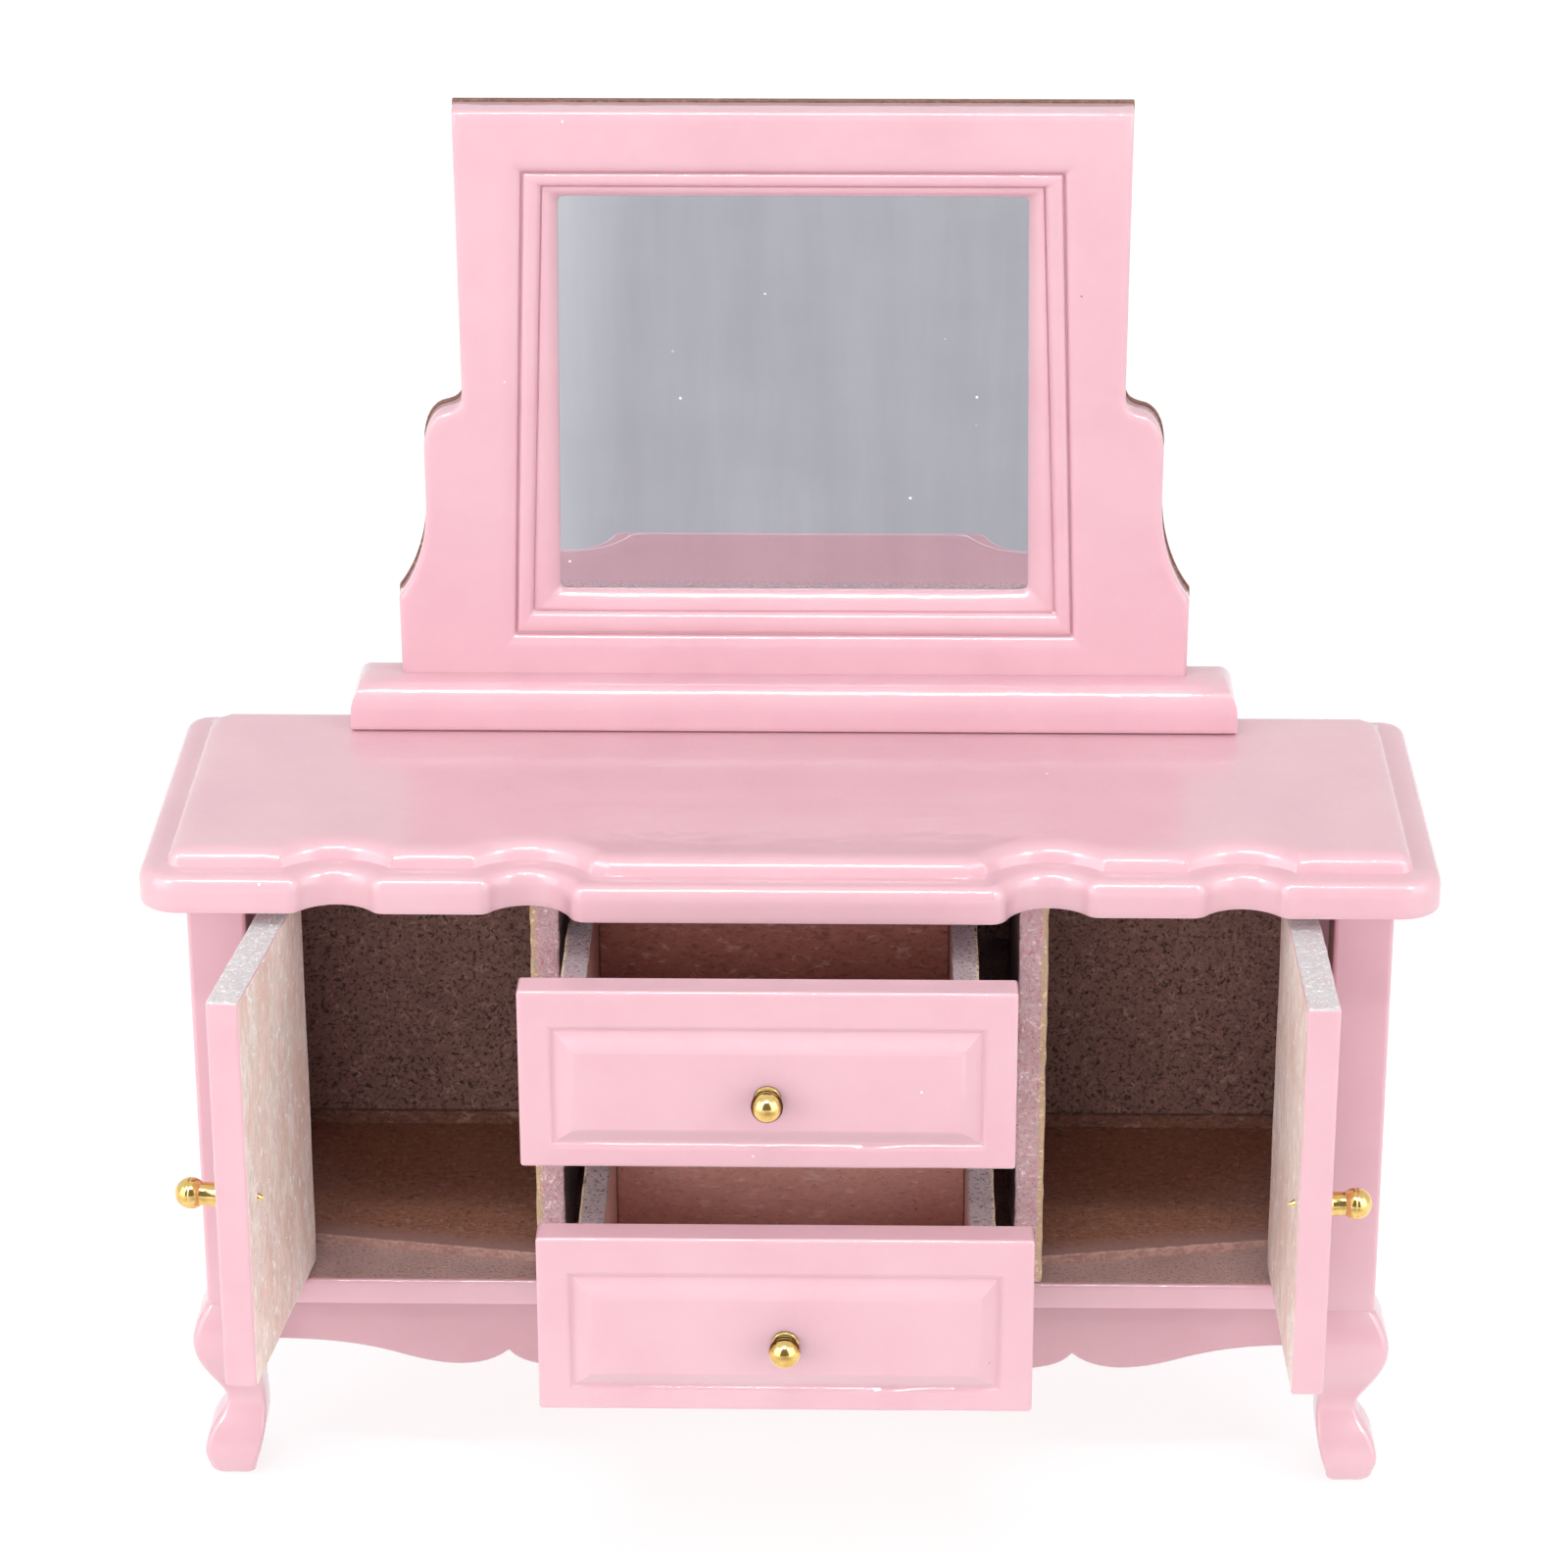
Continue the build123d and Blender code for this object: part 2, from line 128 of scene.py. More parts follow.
def noise_tex(add, where, scale, detail=3.0, rough=0.55, distortion=0.0):
    """Fractal noise, about 0 to 1 with its middle at 0.5."""
    inputs = {"Vector": where, "Scale": scale, "Detail": detail, "Roughness": rough}
    return add("ShaderNodeTexNoise", {**inputs, "Distortion": distortion}).outputs["Fac"]


def ramp(add, value, low, high, to_low=0.0, to_high=1.0):
    """The value remapped linearly and clamped."""
    inputs = {"Value": value, "From Min": low, "From Max": high, "To Min": to_low, "To Max": to_high}
    return add("ShaderNodeMapRange", inputs).outputs["Result"]


def mix_colour(add, factor, first, second):
    """A blend of two colours; 0, 6 and 7 are the mix node's factor and colour sockets."""
    return add("ShaderNodeMix", {0: factor, 6: first, 7: second}, data_type="RGBA").outputs[2]


def specks(add, where, scale, size, keep, seed=0.0):
    """Sparse round spots: 1 inside a spot and 0 outside. keep is the share of cells with one."""
    cells = add(
        "ShaderNodeTexVoronoi",
        {"Vector": shifted(add, where, seed, seed * 1.7, seed * 0.3), "Scale": scale, "Randomness": 1.0},
        feature="F1",
    )
    spot = ramp(add, cells.outputs["Distance"], size, size * 0.55)
    pick = add("ShaderNodeSeparateColor", {"Color": cells.outputs["Color"]})
    chosen = maths(add, "LESS_THAN", pick.outputs[0], keep)
    return maths(add, "MULTIPLY", spot, chosen)


def srgb(r, g, b):
    """A linear colour with alpha from 8-bit sRGB values."""
    def linear(v):
        v = v / 255
        return v / 12.92 if v <= 0.04045 else ((v + 0.055) / 1.055) ** 2.4
    return (linear(r), linear(g), linear(b), 1.0)


def bump(add, height, strength, distance, normal=None):
    """A normal tilted by the height, on top of an earlier normal if there is one."""
    inputs = {"Height": height, "Strength": strength, "Distance": distance}
    if normal is not None:
        inputs["Normal"] = normal
    return add("ShaderNodeBump", inputs).outputs["Normal"]


def lacquer(name, tint, deep, coat=0.9, pits=0.0, pit_colour=None, strip=None):
    """Sprayed gloss lacquer: soft orange peel, mottled film, dust nibs and pinholes.

    pits is the strength of dark pits over raw board, and strip holds how far from the middle
    the lacquer stops and the colour of the bare board beyond.
    """
    material, add = new_material(name)
    where = object_coords(add)
    film = noise_tex(add, where, 0.09)
    fine = noise_tex(add, where, 0.8, 4.0)
    colour = mix_colour(add, ramp(add, film, 0.35, 0.7), tint, deep)
    colour = mix_colour(add, ramp(add, fine, 0.3, 0.75, 0.0, 0.25), colour, tint)
    nibs = specks(add, where, 0.33, 0.06, 0.025)
    holes = specks(add, where, 0.24, 0.035, 0.10, seed=31.7)
    colour = mix_colour(add, nibs, colour, srgb(246, 222, 226))
    colour = mix_colour(add, holes, colour, srgb(150, 108, 112))
    rough = ramp(add, noise_tex(add, where, 1.6, 4.0), 0.3, 0.7, 0.3, 0.42)
    peel = noise_tex(add, where, 0.42, 2.0)
    normal = bump(add, peel, 0.35, 0.00016)
    normal = bump(add, nibs, 0.3, 0.00006, normal)
    normal = bump(add, holes, -0.8, 0.00008, normal)
    if pits:
        grain = noise_tex(add, where, 2.6, 5.0, 0.7)
        pitted = ramp(add, grain, 0.42, 0.60)
        colour = mix_colour(add, ramp(add, grain, 0.36, 0.47, pits, 0.0), colour, pit_colour)
        normal = bump(add, pitted, 0.9, 0.00025, normal)
    if strip:
        bare, bare_colour = strip
        reach = maths(add, "ABSOLUTE", component(add, where, "X"))
        reach = maths(add, "ADD", reach, maths(add, "MULTIPLY", fine, 0.9))
        colour = mix_colour(add, ramp(add, reach, bare, bare + 0.12, 0.0, 0.9), colour, bare_colour)
    surface(add, {
        "Base Color": colour,
        "Roughness": rough,
        "Normal": normal,
        "Coat Weight": coat,
        "Coat Roughness": 0.07,
        "Coat IOR": 1.48,
        "Coat Normal": normal,
        "Specular IOR Level": 0.35,
        "Subsurface Weight": 0.22,
        "Subsurface Scale": 0.0012,
        "Subsurface Radius": (1.0, 0.5, 0.45),
    })
    return material


def fibre_lines(add, where, scale, width, seed):
    """Short curly threads: contour lines of a noise, broken up by another."""
    place = shifted(add, where, seed, -seed, seed * 0.6)
    wave = noise_tex(add, place, scale, 2.0, 0.5, 1.2)
    offset = maths(add, "ABSOLUTE", maths(add, "SUBTRACT", wave, 0.5))
    breaks = ramp(add, noise_tex(add, place, scale * 1.9, 2.0), 0.53, 0.62)
    return maths(add, "MULTIPLY", ramp(add, offset, width, width * 0.4), breaks)


def threaded(add, colour, where, threads):
    """The colour with fibre lines over it, each row a scale, width, seed, strength and tone."""
    for scale, width, seed, share, tone in threads:
        line = maths(add, "MULTIPLY", fibre_lines(add, where, scale, width, seed), share)
        colour = mix_colour(add, line, colour, tone)
    return colour


def fibreboard(name, light, dark, fleck, stretch=(1.0, 1.0, 1.0), threads=0.9):
    """Bare pressed fibreboard: short fibres, dark flecks and pale hairs."""
    material, add = new_material(name)
    where = object_coords(add)
    combed = object_coords(add, tuple(1000 * s for s in stretch))
    clouds = noise_tex(add, where, 0.16, 4.0, 0.6)
    fibres = noise_tex(add, combed, 1.5, 6.0, 0.72, 1.4)
    hairs = noise_tex(add, combed, 4.2, 5.0, 0.75, 0.8)
    colour = mix_colour(add, ramp(add, fibres, 0.3, 0.7), dark, light)
    colour = mix_colour(add, ramp(add, clouds, 0.35, 0.7, 0.0, 0.35), colour, dark)
    colour = mix_colour(add, ramp(add, hairs, 0.60, 0.72, 0.0, 0.75), colour, fleck)
    colour = mix_colour(add, ramp(add, hairs, 0.40, 0.30, 0.0, 0.85), colour, srgb(44, 28, 25))
    colour = threaded(add, colour, combed, (
        (0.55, 0.045, 9.0, 0.5, fleck),
        (0.8, 0.075, 3.0, threads, srgb(30, 20, 19)),
        (1.3, 0.11, 17.0, threads, srgb(38, 25, 22)),
    ))
    normal = bump(add, fibres, 0.8, 0.00012)
    normal = bump(add, hairs, 0.6, 0.00006, normal)
    surface(add, {
        "Base Color": colour,
        "Roughness": ramp(add, fibres, 0.2, 0.8, 0.72, 0.92),
        "Normal": normal,
        "Specular IOR Level": 0.3,
        "Sheen Weight": 0.08,
    })
    return material


def brushed_board(name):
    """The doors' inner faces: a thin beige wash over fibreboard, cloudy, with pale scuffs."""
    material, add = new_material(name)
    where = object_coords(add)
    tall = object_coords(add, (1000, 1000, 450))
    clouds = noise_tex(add, tall, 0.2, 4.0, 0.6, 0.6)
    grain = noise_tex(add, tall, 1.1, 6.0, 0.72, 0.8)
    colour = mix_colour(add, ramp(add, clouds, 0.36, 0.62), srgb(255, 244, 236), srgb(244, 208, 196))
    colour = mix_colour(add, ramp(add, grain, 0.36, 0.62, 0.0, 0.75), colour, srgb(214, 192, 180))
    scuffs = fibre_lines(add, where, 0.4, 0.028, 5.0)
    chalk = specks(add, where, 0.6, 0.17, 0.12)
    dark = specks(add, where, 0.55, 0.07, 0.3, seed=11.0)
    colour = mix_colour(add, scuffs, colour, srgb(255, 252, 248))
    colour = mix_colour(add, chalk, colour, srgb(255, 252, 250))
    colour = mix_colour(add, dark, colour, srgb(128, 104, 98))
    normal = bump(add, grain, 0.8, 0.0001)
    normal = bump(add, scuffs, 0.5, 0.00006, normal)
    surface(add, {
        "Base Color": colour,
        "Roughness": ramp(add, grain, 0.3, 0.7, 0.42, 0.62),
        "Normal": normal,
        "Specular IOR Level": 0.4,
    })
    return material


def gilt(name):
    """Gilt brass: fine scratches, faint tarnish and polish varying over the ball."""
    material, add = new_material(name)
    tarnish = noise_tex(add, object_coords(add), 0.9, 4.0)
    scratch = noise_tex(add, object_coords(add, (1000, 1000, 9000)), 1.4, 3.0, 0.8)
    colour = mix_colour(add, ramp(add, tarnish, 0.35, 0.75), srgb(246, 214, 138), srgb(222, 176, 96))
    normal = bump(add, scratch, 0.3, 0.00002)
    surface(add, {
        "Base Color": colour,
        "Metallic": 1.0,
        "Roughness": ramp(add, tarnish, 0.3, 0.8, 0.08, 0.18),
        "Normal": bump(add, tarnish, 0.3, 0.00004, normal),
    })
    return material


def steel(name):
    """Drawn steel wire, with scratches round it."""
    material, add = new_material(name)
    rings = noise_tex(add, object_coords(add, (1000, 1000, 12000)), 0.8, 4.0, 0.7)
    spots = noise_tex(add, object_coords(add), 3.0, 4.0)
    surface(add, {
        "Base Color": mix_colour(add, ramp(add, spots, 0.4, 0.8), srgb(205, 205, 205), srgb(150, 142, 136)),
        "Metallic": 1.0,
        "Roughness": ramp(add, rings, 0.3, 0.7, 0.2, 0.4),
        "Normal": bump(add, rings, 0.4, 0.00002),
    })
    return material


def silvered(name, low, edge):
    """Mirror glass: a speckled band of painted shade along its foot where it meets the frame, with dust
    lying on it.
    """
    material, add = new_material(name)
    where = object_coords(add)
    near_foot = ramp(add, component(add, where, "Z"), low + edge, low)
    grit = noise_tex(add, where, 3.4, 5.0, 0.8)
    # Painted shade: near the foot, broken into specks by grit, the glass turns dark and loses its shine.
    painted_foot_shade = maths(add, "MULTIPLY", near_foot, ramp(add, grit, 0.42, 0.62))
    dust = specks(add, where, 0.36, 0.06, 0.28)
    lint = specks(add, where, 0.22, 0.05, 0.18, seed=53.0)
    film = noise_tex(add, object_coords(add, (1000, 1000, 90)), 0.22, 4.0)
    colour = mix_colour(add, ramp(add, film, 0.3, 0.7), srgb(228, 228, 232), srgb(219, 219, 224))
    colour = mix_colour(add, painted_foot_shade, colour, srgb(84, 80, 82))
    colour = mix_colour(add, dust, colour, srgb(245, 245, 245))
    dull = maths(add, "MAXIMUM", maths(add, "MAXIMUM", painted_foot_shade, dust), lint)
    surface(add, {
        "Base Color": colour,
        "Metallic": ramp(add, dull, 0.0, 1.0, 1.0, 0.35),
        "Roughness": ramp(add, dull, 0.0, 1.0, 0.012, 0.5),
    })
    return material


# Where the lacquer stops on the dividers' front edges, from the middle of the object.
DIVIDER_BARE = 23.95
pink = lacquer("pink_lacquer", srgb(211, 170, 179), srgb(207, 163, 173))
# The aprons' lacquer is a darker copy of the pink, painted shade for their place under the bottom board and
# the drawers.
shaded_pink_apron = lacquer("pink_apron_lacquer", srgb(192, 150, 158), srgb(188, 143, 152), 0.5)
# The dividers' front edges: the pink lacquer, pitted, painted much lighter than elsewhere as painted light
# against the shade under the tabletop.
lightened_pink_pitted = lacquer(
    "lightened_pink_pitted", srgb(255, 218, 222), srgb(252, 204, 210), 0.5, 0.85, srgb(176, 78, 92),
    (DIVIDER_BARE, srgb(250, 214, 172)),
)
overspray = lacquer(
    "pink_overspray", srgb(190, 150, 156), srgb(160, 118, 122), 0.25, 0.7, srgb(96, 66, 66)
)
edge_spray = lacquer(
    "edge_overspray", srgb(244, 228, 232), srgb(206, 178, 188), 0.25, 0.95, srgb(104, 70, 78)
)
sealed_edge = lacquer(
    "sealed_edge", srgb(255, 253, 254), srgb(246, 238, 240), 0.3, 0.45, srgb(196, 178, 178)
)
board_spray = lacquer(
    "board_overspray", srgb(250, 212, 206), srgb(214, 174, 166), 0.2, 0.6, srgb(128, 92, 84)
)
cut_edge = fibreboard("cut_edge", srgb(222, 200, 176), srgb(196, 170, 146), srgb(238, 226, 210))
dark_board = fibreboard(
    "dark_fibreboard", srgb(158, 120, 110), srgb(112, 83, 76), srgb(186, 150, 138), threads=0.75
)
brown_board = fibreboard(
    "brown_fibreboard", srgb(150, 108, 93), srgb(110, 74, 61), srgb(186, 150, 132), (0.6, 1.0, 1.0), 0.4
)
red_board = fibreboard(
    "red_brown_fibreboard", srgb(196, 132, 121), srgb(168, 106, 96), srgb(222, 176, 162),
    (0.45, 1.3, 1.0), 0.25,
)
# A lighter copy of the drawer board for the lower drawer: painted light, for the light that falls into that
# drawer, which stands further out.
lit_pale_board = fibreboard(
    "lit_pale_red_fibreboard", srgb(238, 190, 177), srgb(220, 160, 147), srgb(252, 220, 208),
    (0.45, 1.3, 1.0), 0.1,
)
beige = brushed_board("brushed_beige")
gold = gilt("gilt_brass")
wire = steel("steel_wire")


# ==== mesh helpers ====
UP = Vector((0, 0, 1))


def finish_piece(name, bm, materials, body, replaced, sharp=32.0):
    """Turns a bmesh in millimetres into a piece; the drawers don't show in the mirror."""
    bmesh.ops.remove_doubles(bm, verts=bm.verts, dist=1e-4)
    bmesh.ops.recalc_face_normals(bm, faces=bm.faces)
    mesh = bpy.data.meshes.new(name)
    for face in bm.faces:
        face.smooth = True
    bm.to_mesh(mesh)
    bm.free()
    mesh.transform(Matrix.Scale(MM, 4))
    mesh.set_sharp_from_angle(angle=math.radians(sharp))
    piece = bpy.data.objects.new(name, mesh)
    for material in materials:
        mesh.materials.append(material)
    bpy.context.scene.collection.objects.link(piece)
    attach(piece, body)
    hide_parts(replaced)
    piece.visible_glossy = not body.endswith("_drawer")


def add_rings(bm, rings, capped=True):
    """Quads between rings of equal length, with flat caps at the ends or open ends."""
    rows = [[bm.verts.new(p) for p in ring] for ring in rings]
    count = len(rows[0])
    for a, b in zip(rows, rows[1:]):
        for i in range(count):
            j = (i + 1) % count
            bm.faces.new((a[i], a[j], b[j], b[i]))
    if capped:
        bm.faces.new(rows[0][::-1])
        bm.faces.new(rows[-1])
    return rows


def arc(centre, radius, start, end, steps):
    """Points of an arc, angles in degrees, with both ends."""
    points = []
    for i in range(steps + 1):
        angle = math.radians(start + (end - start) * i / steps)
        points.append((centre[0] + radius * math.cos(angle), centre[1] + radius * math.sin(angle)))
    return points


def loop_normals(points):
    """Outward unit normals of a closed counter-clockwise loop."""
    p = np.array(points, float)
    before = p - np.roll(p, 1, axis=0)
    after = np.roll(p, -1, axis=0) - p
    before /= np.linalg.norm(before, axis=1)[:, None]
    after /= np.linalg.norm(after, axis=1)[:, None]
    tangent = before + after
    bisector = np.stack([tangent[:, 1], -tangent[:, 0]], axis=1)
    bisector /= np.linalg.norm(bisector, axis=1)[:, None]
    square = np.stack([after[:, 1], -after[:, 0]], axis=1)
    stretch = np.clip((bisector * square).sum(axis=1), 0.35, 1)
    return bisector / stretch[:, None]


def distance_to_loop(q, p):
    """Distance from each point of q to the closed loop p."""
    a = p[None, :, :]
    step = np.roll(p, -1, axis=0)[None, :, :] - a
    rel = q[:, None, :] - a
    t = np.clip((rel * step).sum(2) / np.maximum((step * step).sum(2), 1e-12), 0, 1)
    return np.linalg.norm(rel - t[:, :, None] * step, axis=2).min(axis=1)


def inset_loop(points, amount):
    """The loop moved inward; points that would cross over close up onto their neighbours."""
    p = np.array(points, float)
    if abs(amount) < 1e-6:
        return p
    moved = p - loop_normals(points) * amount
    good = distance_to_loop(moved, p) > amount * 0.985
    index = np.nonzero(good)[0]
    count = len(p)
    wide = np.concatenate([index - count, index, index + count])
    result = np.empty_like(moved)
    for axis in (0, 1):
        result[:, axis] = np.interp(np.arange(count), wide, np.tile(moved[index, axis], 3))
    return result


def spaced(points, gap):
    """The closed loop with extra points so that no step is longer than the gap."""
    out = []
    for a, b in zip(points, points[1:] + points[:1]):
        steps = max(1, math.ceil(math.dist(a, b) / gap))
        out += [(a[0] + (b[0] - a[0]) * i / steps, a[1] + (b[1] - a[1]) * i / steps) for i in range(steps)]
    return out


def slab(bm, outline, profile, place):
    """A plate whose edge follows the profile of (inset, level) rows from foot to top."""
    rings = [[place(x, y, level) for x, y in inset_loop(outline, inset)] for inset, level in profile]
    add_rings(bm, rings)


def rounded_profile(low, high, radius, steps=3, support=0.12):
    """Edge profile of a plate with rounded arrises."""
    corner = [(radius + support, 0.0)]
    for i in range(steps + 1):
        a = math.pi / 2 * i / steps
        corner.append((radius * (1 - math.sin(a)), radius * (1 - math.cos(a))))
    rows = [(inset, low + rise) for inset, rise in corner]
    return rows + [(inset, high - rise) for inset, rise in reversed(corner)]


def is_square_on(face):
    """True for a face that looks straight along an axis."""
    return max(map(abs, face.normal)) > 0.999


def block(size, middle=(0, 0, 0)):
    """A new box mesh of this size about this middle."""
    bm = bmesh.new()
    bmesh.ops.create_cube(bm, size=1.0)
    for v in bm.verts:
        v.co = Vector(v.co[i] * size[i] + middle[i] for i in range(3))
    return bm


def round_edges(bm, edges, radius, segments):
    """Rounds the edges over."""
    bmesh.ops.bevel(bm, geom=edges, offset=radius, segments=segments, profile=0.5, affect="EDGES")


def box_mesh(lo, hi, radius=0.25, support=0.08):
    """A board with rounded arrises and a narrow flat margin on each face."""
    size = hi - lo
    bm = block(size, (hi + lo) / 2)
    round_edges(bm, list(bm.edges), radius, 3)
    smallest = min(size) - 2 * radius
    least_area = smallest * smallest * 0.5
    big = [f for f in bm.faces if f.calc_area() > least_area and is_square_on(f)]
    big = [f for f in big if min(e.calc_length() for e in f.edges) > 3 * support]
    bmesh.ops.inset_individual(bm, faces=big, thickness=support, depth=0)
    return bm


def paint_faces(bm, index, chosen):
    """Gives a material slot to the faces that pass the test."""
    for face in bm.faces:
        if chosen(face):
            face.material_index = index


def roughen(bm, amount, scale, chosen, seed=0.0):
    """Moves the chosen vertices along their normals by smooth noise."""
    bm.normal_update()
    moves = []
    for v in bm.verts:
        if chosen(v):
            n = noise.noise(v.co * scale + Vector((seed, seed, seed)))
            moves.append((v, v.normal * n * amount))
    for v, move in moves:
        v.co += move


def board_piece(
    name, node, materials, radius=0.25, body="case", painter=None, longest=0, rough=None, sink=0
):
    """A rounded board for a box-shaped CAD node, its edges cut up where they pass the longest."""
    lo, hi = node_box(node)
    bm = box_mesh(lo - Vector((0, 0, sink)), hi, radius)
    if longest:
        for edge in [e for e in bm.edges if e.calc_length() > longest]:
            if edge.is_valid:
                steps = int(edge.calc_length() / longest)
                bmesh.ops.subdivide_edges(bm, edges=[edge], cuts=steps)
        bmesh.ops.triangulate(bm, faces=[f for f in bm.faces if len(f.verts) > 4])
    if painter:
        painter(bm, lo, hi)
    if rough:
        roughen(bm, *rough)
    finish_piece(name, bm, materials, body, node)


def on_plan(x, depth, z):
    """A point of a horizontal slab, from its plan and height."""
    return (x, back(depth), z)


# ==== tabletop ====
NOTCHES = (24.0, 41.6)
NOTCH_R = 4.3
NOTCH_Y = -3.0 - NOTCH_R
NOTCH_FILLET = 1.6
FRONT_EDGE = -5.1
BOW_EDGE = -6.7
TOP_HALF = 60.0
TOP_BACK = 35.0
FRONT_CORNER_R = 4.0
REAR_CORNER_R = 2.6


def tabletop_half():
    """Right half of the plan from the front middle to the back middle, y as depth."""
    points = []

    def fillet_at(notch_x, edge, side):
        """Centre of the fillet beside a notch, and its direction from the notch in degrees."""
        cy = edge + NOTCH_FILLET
        rise = cy - NOTCH_Y
        run = math.sqrt((NOTCH_R + NOTCH_FILLET) ** 2 - rise * rise)
        return (notch_x + side * run, cy), math.degrees(math.atan2(rise, side * run))

    for notch_x, edge in zip(NOTCHES, (BOW_EDGE, FRONT_EDGE)):
        near, start = fillet_at(notch_x, edge, -1)
        far, end = fillet_at(notch_x, FRONT_EDGE, 1)
        points += arc(near, NOTCH_FILLET, -90, start - 180, 9)
        points += arc((notch_x, NOTCH_Y), NOTCH_R, start, end, 22)[1:-1]
        points += arc(far, NOTCH_FILLET, end - 180, -90, 9)
    corner = (TOP_HALF - FRONT_CORNER_R, FRONT_EDGE + FRONT_CORNER_R)
    points += arc(corner, FRONT_CORNER_R, -90, 0, 12)
    corner = (TOP_HALF - REAR_CORNER_R, TOP_BACK - REAR_CORNER_R)
    points += arc(corner, REAR_CORNER_R, 0, 90, 9)
    return points


half = tabletop_half()
outline = spaced(half + [(-x, y) for x, y in reversed(half)], 2.2)
# Rows of how far inside the outline, and height: lower lip, edge, first step, cove, raised field.
TOP_PROFILE = [
    (0.55, 62.30), (0.28, 62.32), (0.08, 62.42), (0.0, 62.62), (0.0, 63.1), (0.0, 64.1), (0.0, 64.5),
    (0.04, 64.85), (0.14, 65.2), (0.32, 65.5), (0.58, 65.72), (0.9, 65.84), (1.3, 65.88), (1.9, 65.88),
    (2.4, 65.88), (2.56, 65.93), (2.64, 66.06), (2.72, 66.4), (2.86, 66.72), (3.12, 67.02), (3.5, 67.26),
    (3.95, 67.41), (4.4, 67.48), (4.9, 67.5), (5.6, 67.5),
]
bm = bmesh.new()
slab(bm, outline, TOP_PROFILE, on_plan)
finish_piece("top_moulded", bm, [pink], "case", "tabletop", 40)

# ==== posts, panels, boards ====
# The posts reach a little into the legs, so that their rounded ends leave no gap.
POST_SINK = 0.45
for end in ("front", "rear"):
    for side, _ in SIDES:
        node = f"{end}_{side}_post"
        board_piece(f"{node}_lacquered", node, [pink], 0.4, sink=POST_SINK)
for side, _ in SIDES:
    board_piece(f"{side}_side_lacquered", f"{side}_side_panel", [pink], 0.2)


def divider_painter(bm, lo, hi):
    """Front edge pitted pink, in lacquer painted lighter against the shade under the tabletop."""
    paint_faces(bm, 1, lambda f: f.calc_center_median().y < lo.y + 0.3)


for side, _ in SIDES:
    board_piece(
        f"{side}_divider_sprayed", f"{side}_divider", [overspray, lightened_pink_pitted],
        0.22, "case", divider_painter, 1.2,
        (0.10, 1.1, lambda v: v.co.y < FRONT_PLANE + 0.7, 3.0),
    )
board_piece("drawer_shelf_board", "drawer_shelf", [overspray], 0.15)
board_piece("back_panel_fibre", "back_panel", [dark_board], 0.12)
for side, _ in SIDES:
    board_piece(f"{side}_batten_board", f"{side}_back_batten", [brown_board], 0.12)

# ---- bottom board, notched round the posts ----
BOARD_HALF = 53.0
notched = [(-CUPBOARD_OUT, 0), (CUPBOARD_OUT, 0), (CUPBOARD_OUT, POST), (BOARD_HALF, POST)]
notched += [(BOARD_HALF, CARCASS_DEPTH - POST), (CUPBOARD_OUT, CARCASS_DEPTH - POST)]
notched += [(CUPBOARD_OUT, CARCASS_DEPTH)]
notched += [(-x, y) for x, y in reversed(notched[2:])]
bm = bmesh.new()
slab(bm, spaced(notched, 6.0), rounded_profile(LEG_HEIGHT, FLOOR_TOP, 0.42, 4), on_plan)
bm.normal_update()
paint_faces(bm, 1, lambda f: f.normal.z > 0.999)
finish_piece("bottom_board_lacquered", bm, [pink, board_spray], "case", "bottom_board")


# ---- floor sheets: a torn pale line, partly pale fibres and partly a painted highlight on the arris, and a band of overspray along the front ----
SHEET_NEAR = 3.8
SHEET_FAR = 8.2
SHEET_BACK = 31.9
SHEET_SLANT = 0.1667
TORN_STEPS = 60


def sheet_material():
    """Brown board with pink overspray along its front margin and a pale line at its torn edge, partly pale
    edge fibres and partly a painted highlight on the arris.
    """
    material, add = new_material("floor_sheet_board")
    where = object_coords(add)
    slant = maths(add, "MULTIPLY", maths(add, "ABSOLUTE", component(add, where, "X")), -SHEET_SLANT)
    depth = maths(add, "ADD", component(add, where, "Y"), slant)
    ragged = noise_tex(add, where, 0.9, 5.0, 0.7)
    inward = maths(add, "ADD", depth, maths(add, "MULTIPLY", ragged, 1.6))
    start = FRONT_PLANE + SHEET_NEAR - CUPBOARD_IN / 6 + 0.8
    # The pale rim along the torn edge is partly pale fibres and partly a painted highlight on the sheet's
    # arris.
    rim = ramp(add, inward, start + 0.42, start + 0.2, 0.0, 0.8)
    band = ramp(add, inward, start + 3.4, start + 1.0, 0.0, 0.8)
    fibres = noise_tex(add, object_coords(add, (600, 1000, 1000)), 1.6, 6.0, 0.72, 1.2)
    hairs = noise_tex(add, where, 4.2, 5.0, 0.75)
    colour = mix_colour(add, ramp(add, fibres, 0.3, 0.7), srgb(132, 84, 62), srgb(176, 122, 96))
    colour = mix_colour(add, ramp(add, hairs, 0.6, 0.72, 0.0, 0.6), colour, srgb(160, 122, 104))
    colour = threaded(add, colour, where, (
        (0.7, 0.06, 4.0, 0.7, srgb(176, 142, 124)), (0.9, 0.08, 21.0, 0.45, srgb(52, 32, 24)),
    ))
    colour = mix_colour(add, band, colour, srgb(170, 132, 126))
    broken = maths(add, "MULTIPLY", rim, ramp(add, fibres, 0.42, 0.58))
    surface(add, {
        "Base Color": mix_colour(add, broken, colour, srgb(196, 160, 150)),
        "Roughness": ramp(add, hairs, 0.2, 0.8, 0.7, 0.9),
        "Normal": bump(add, fibres, 0.8, 0.00014),
    })
    return material


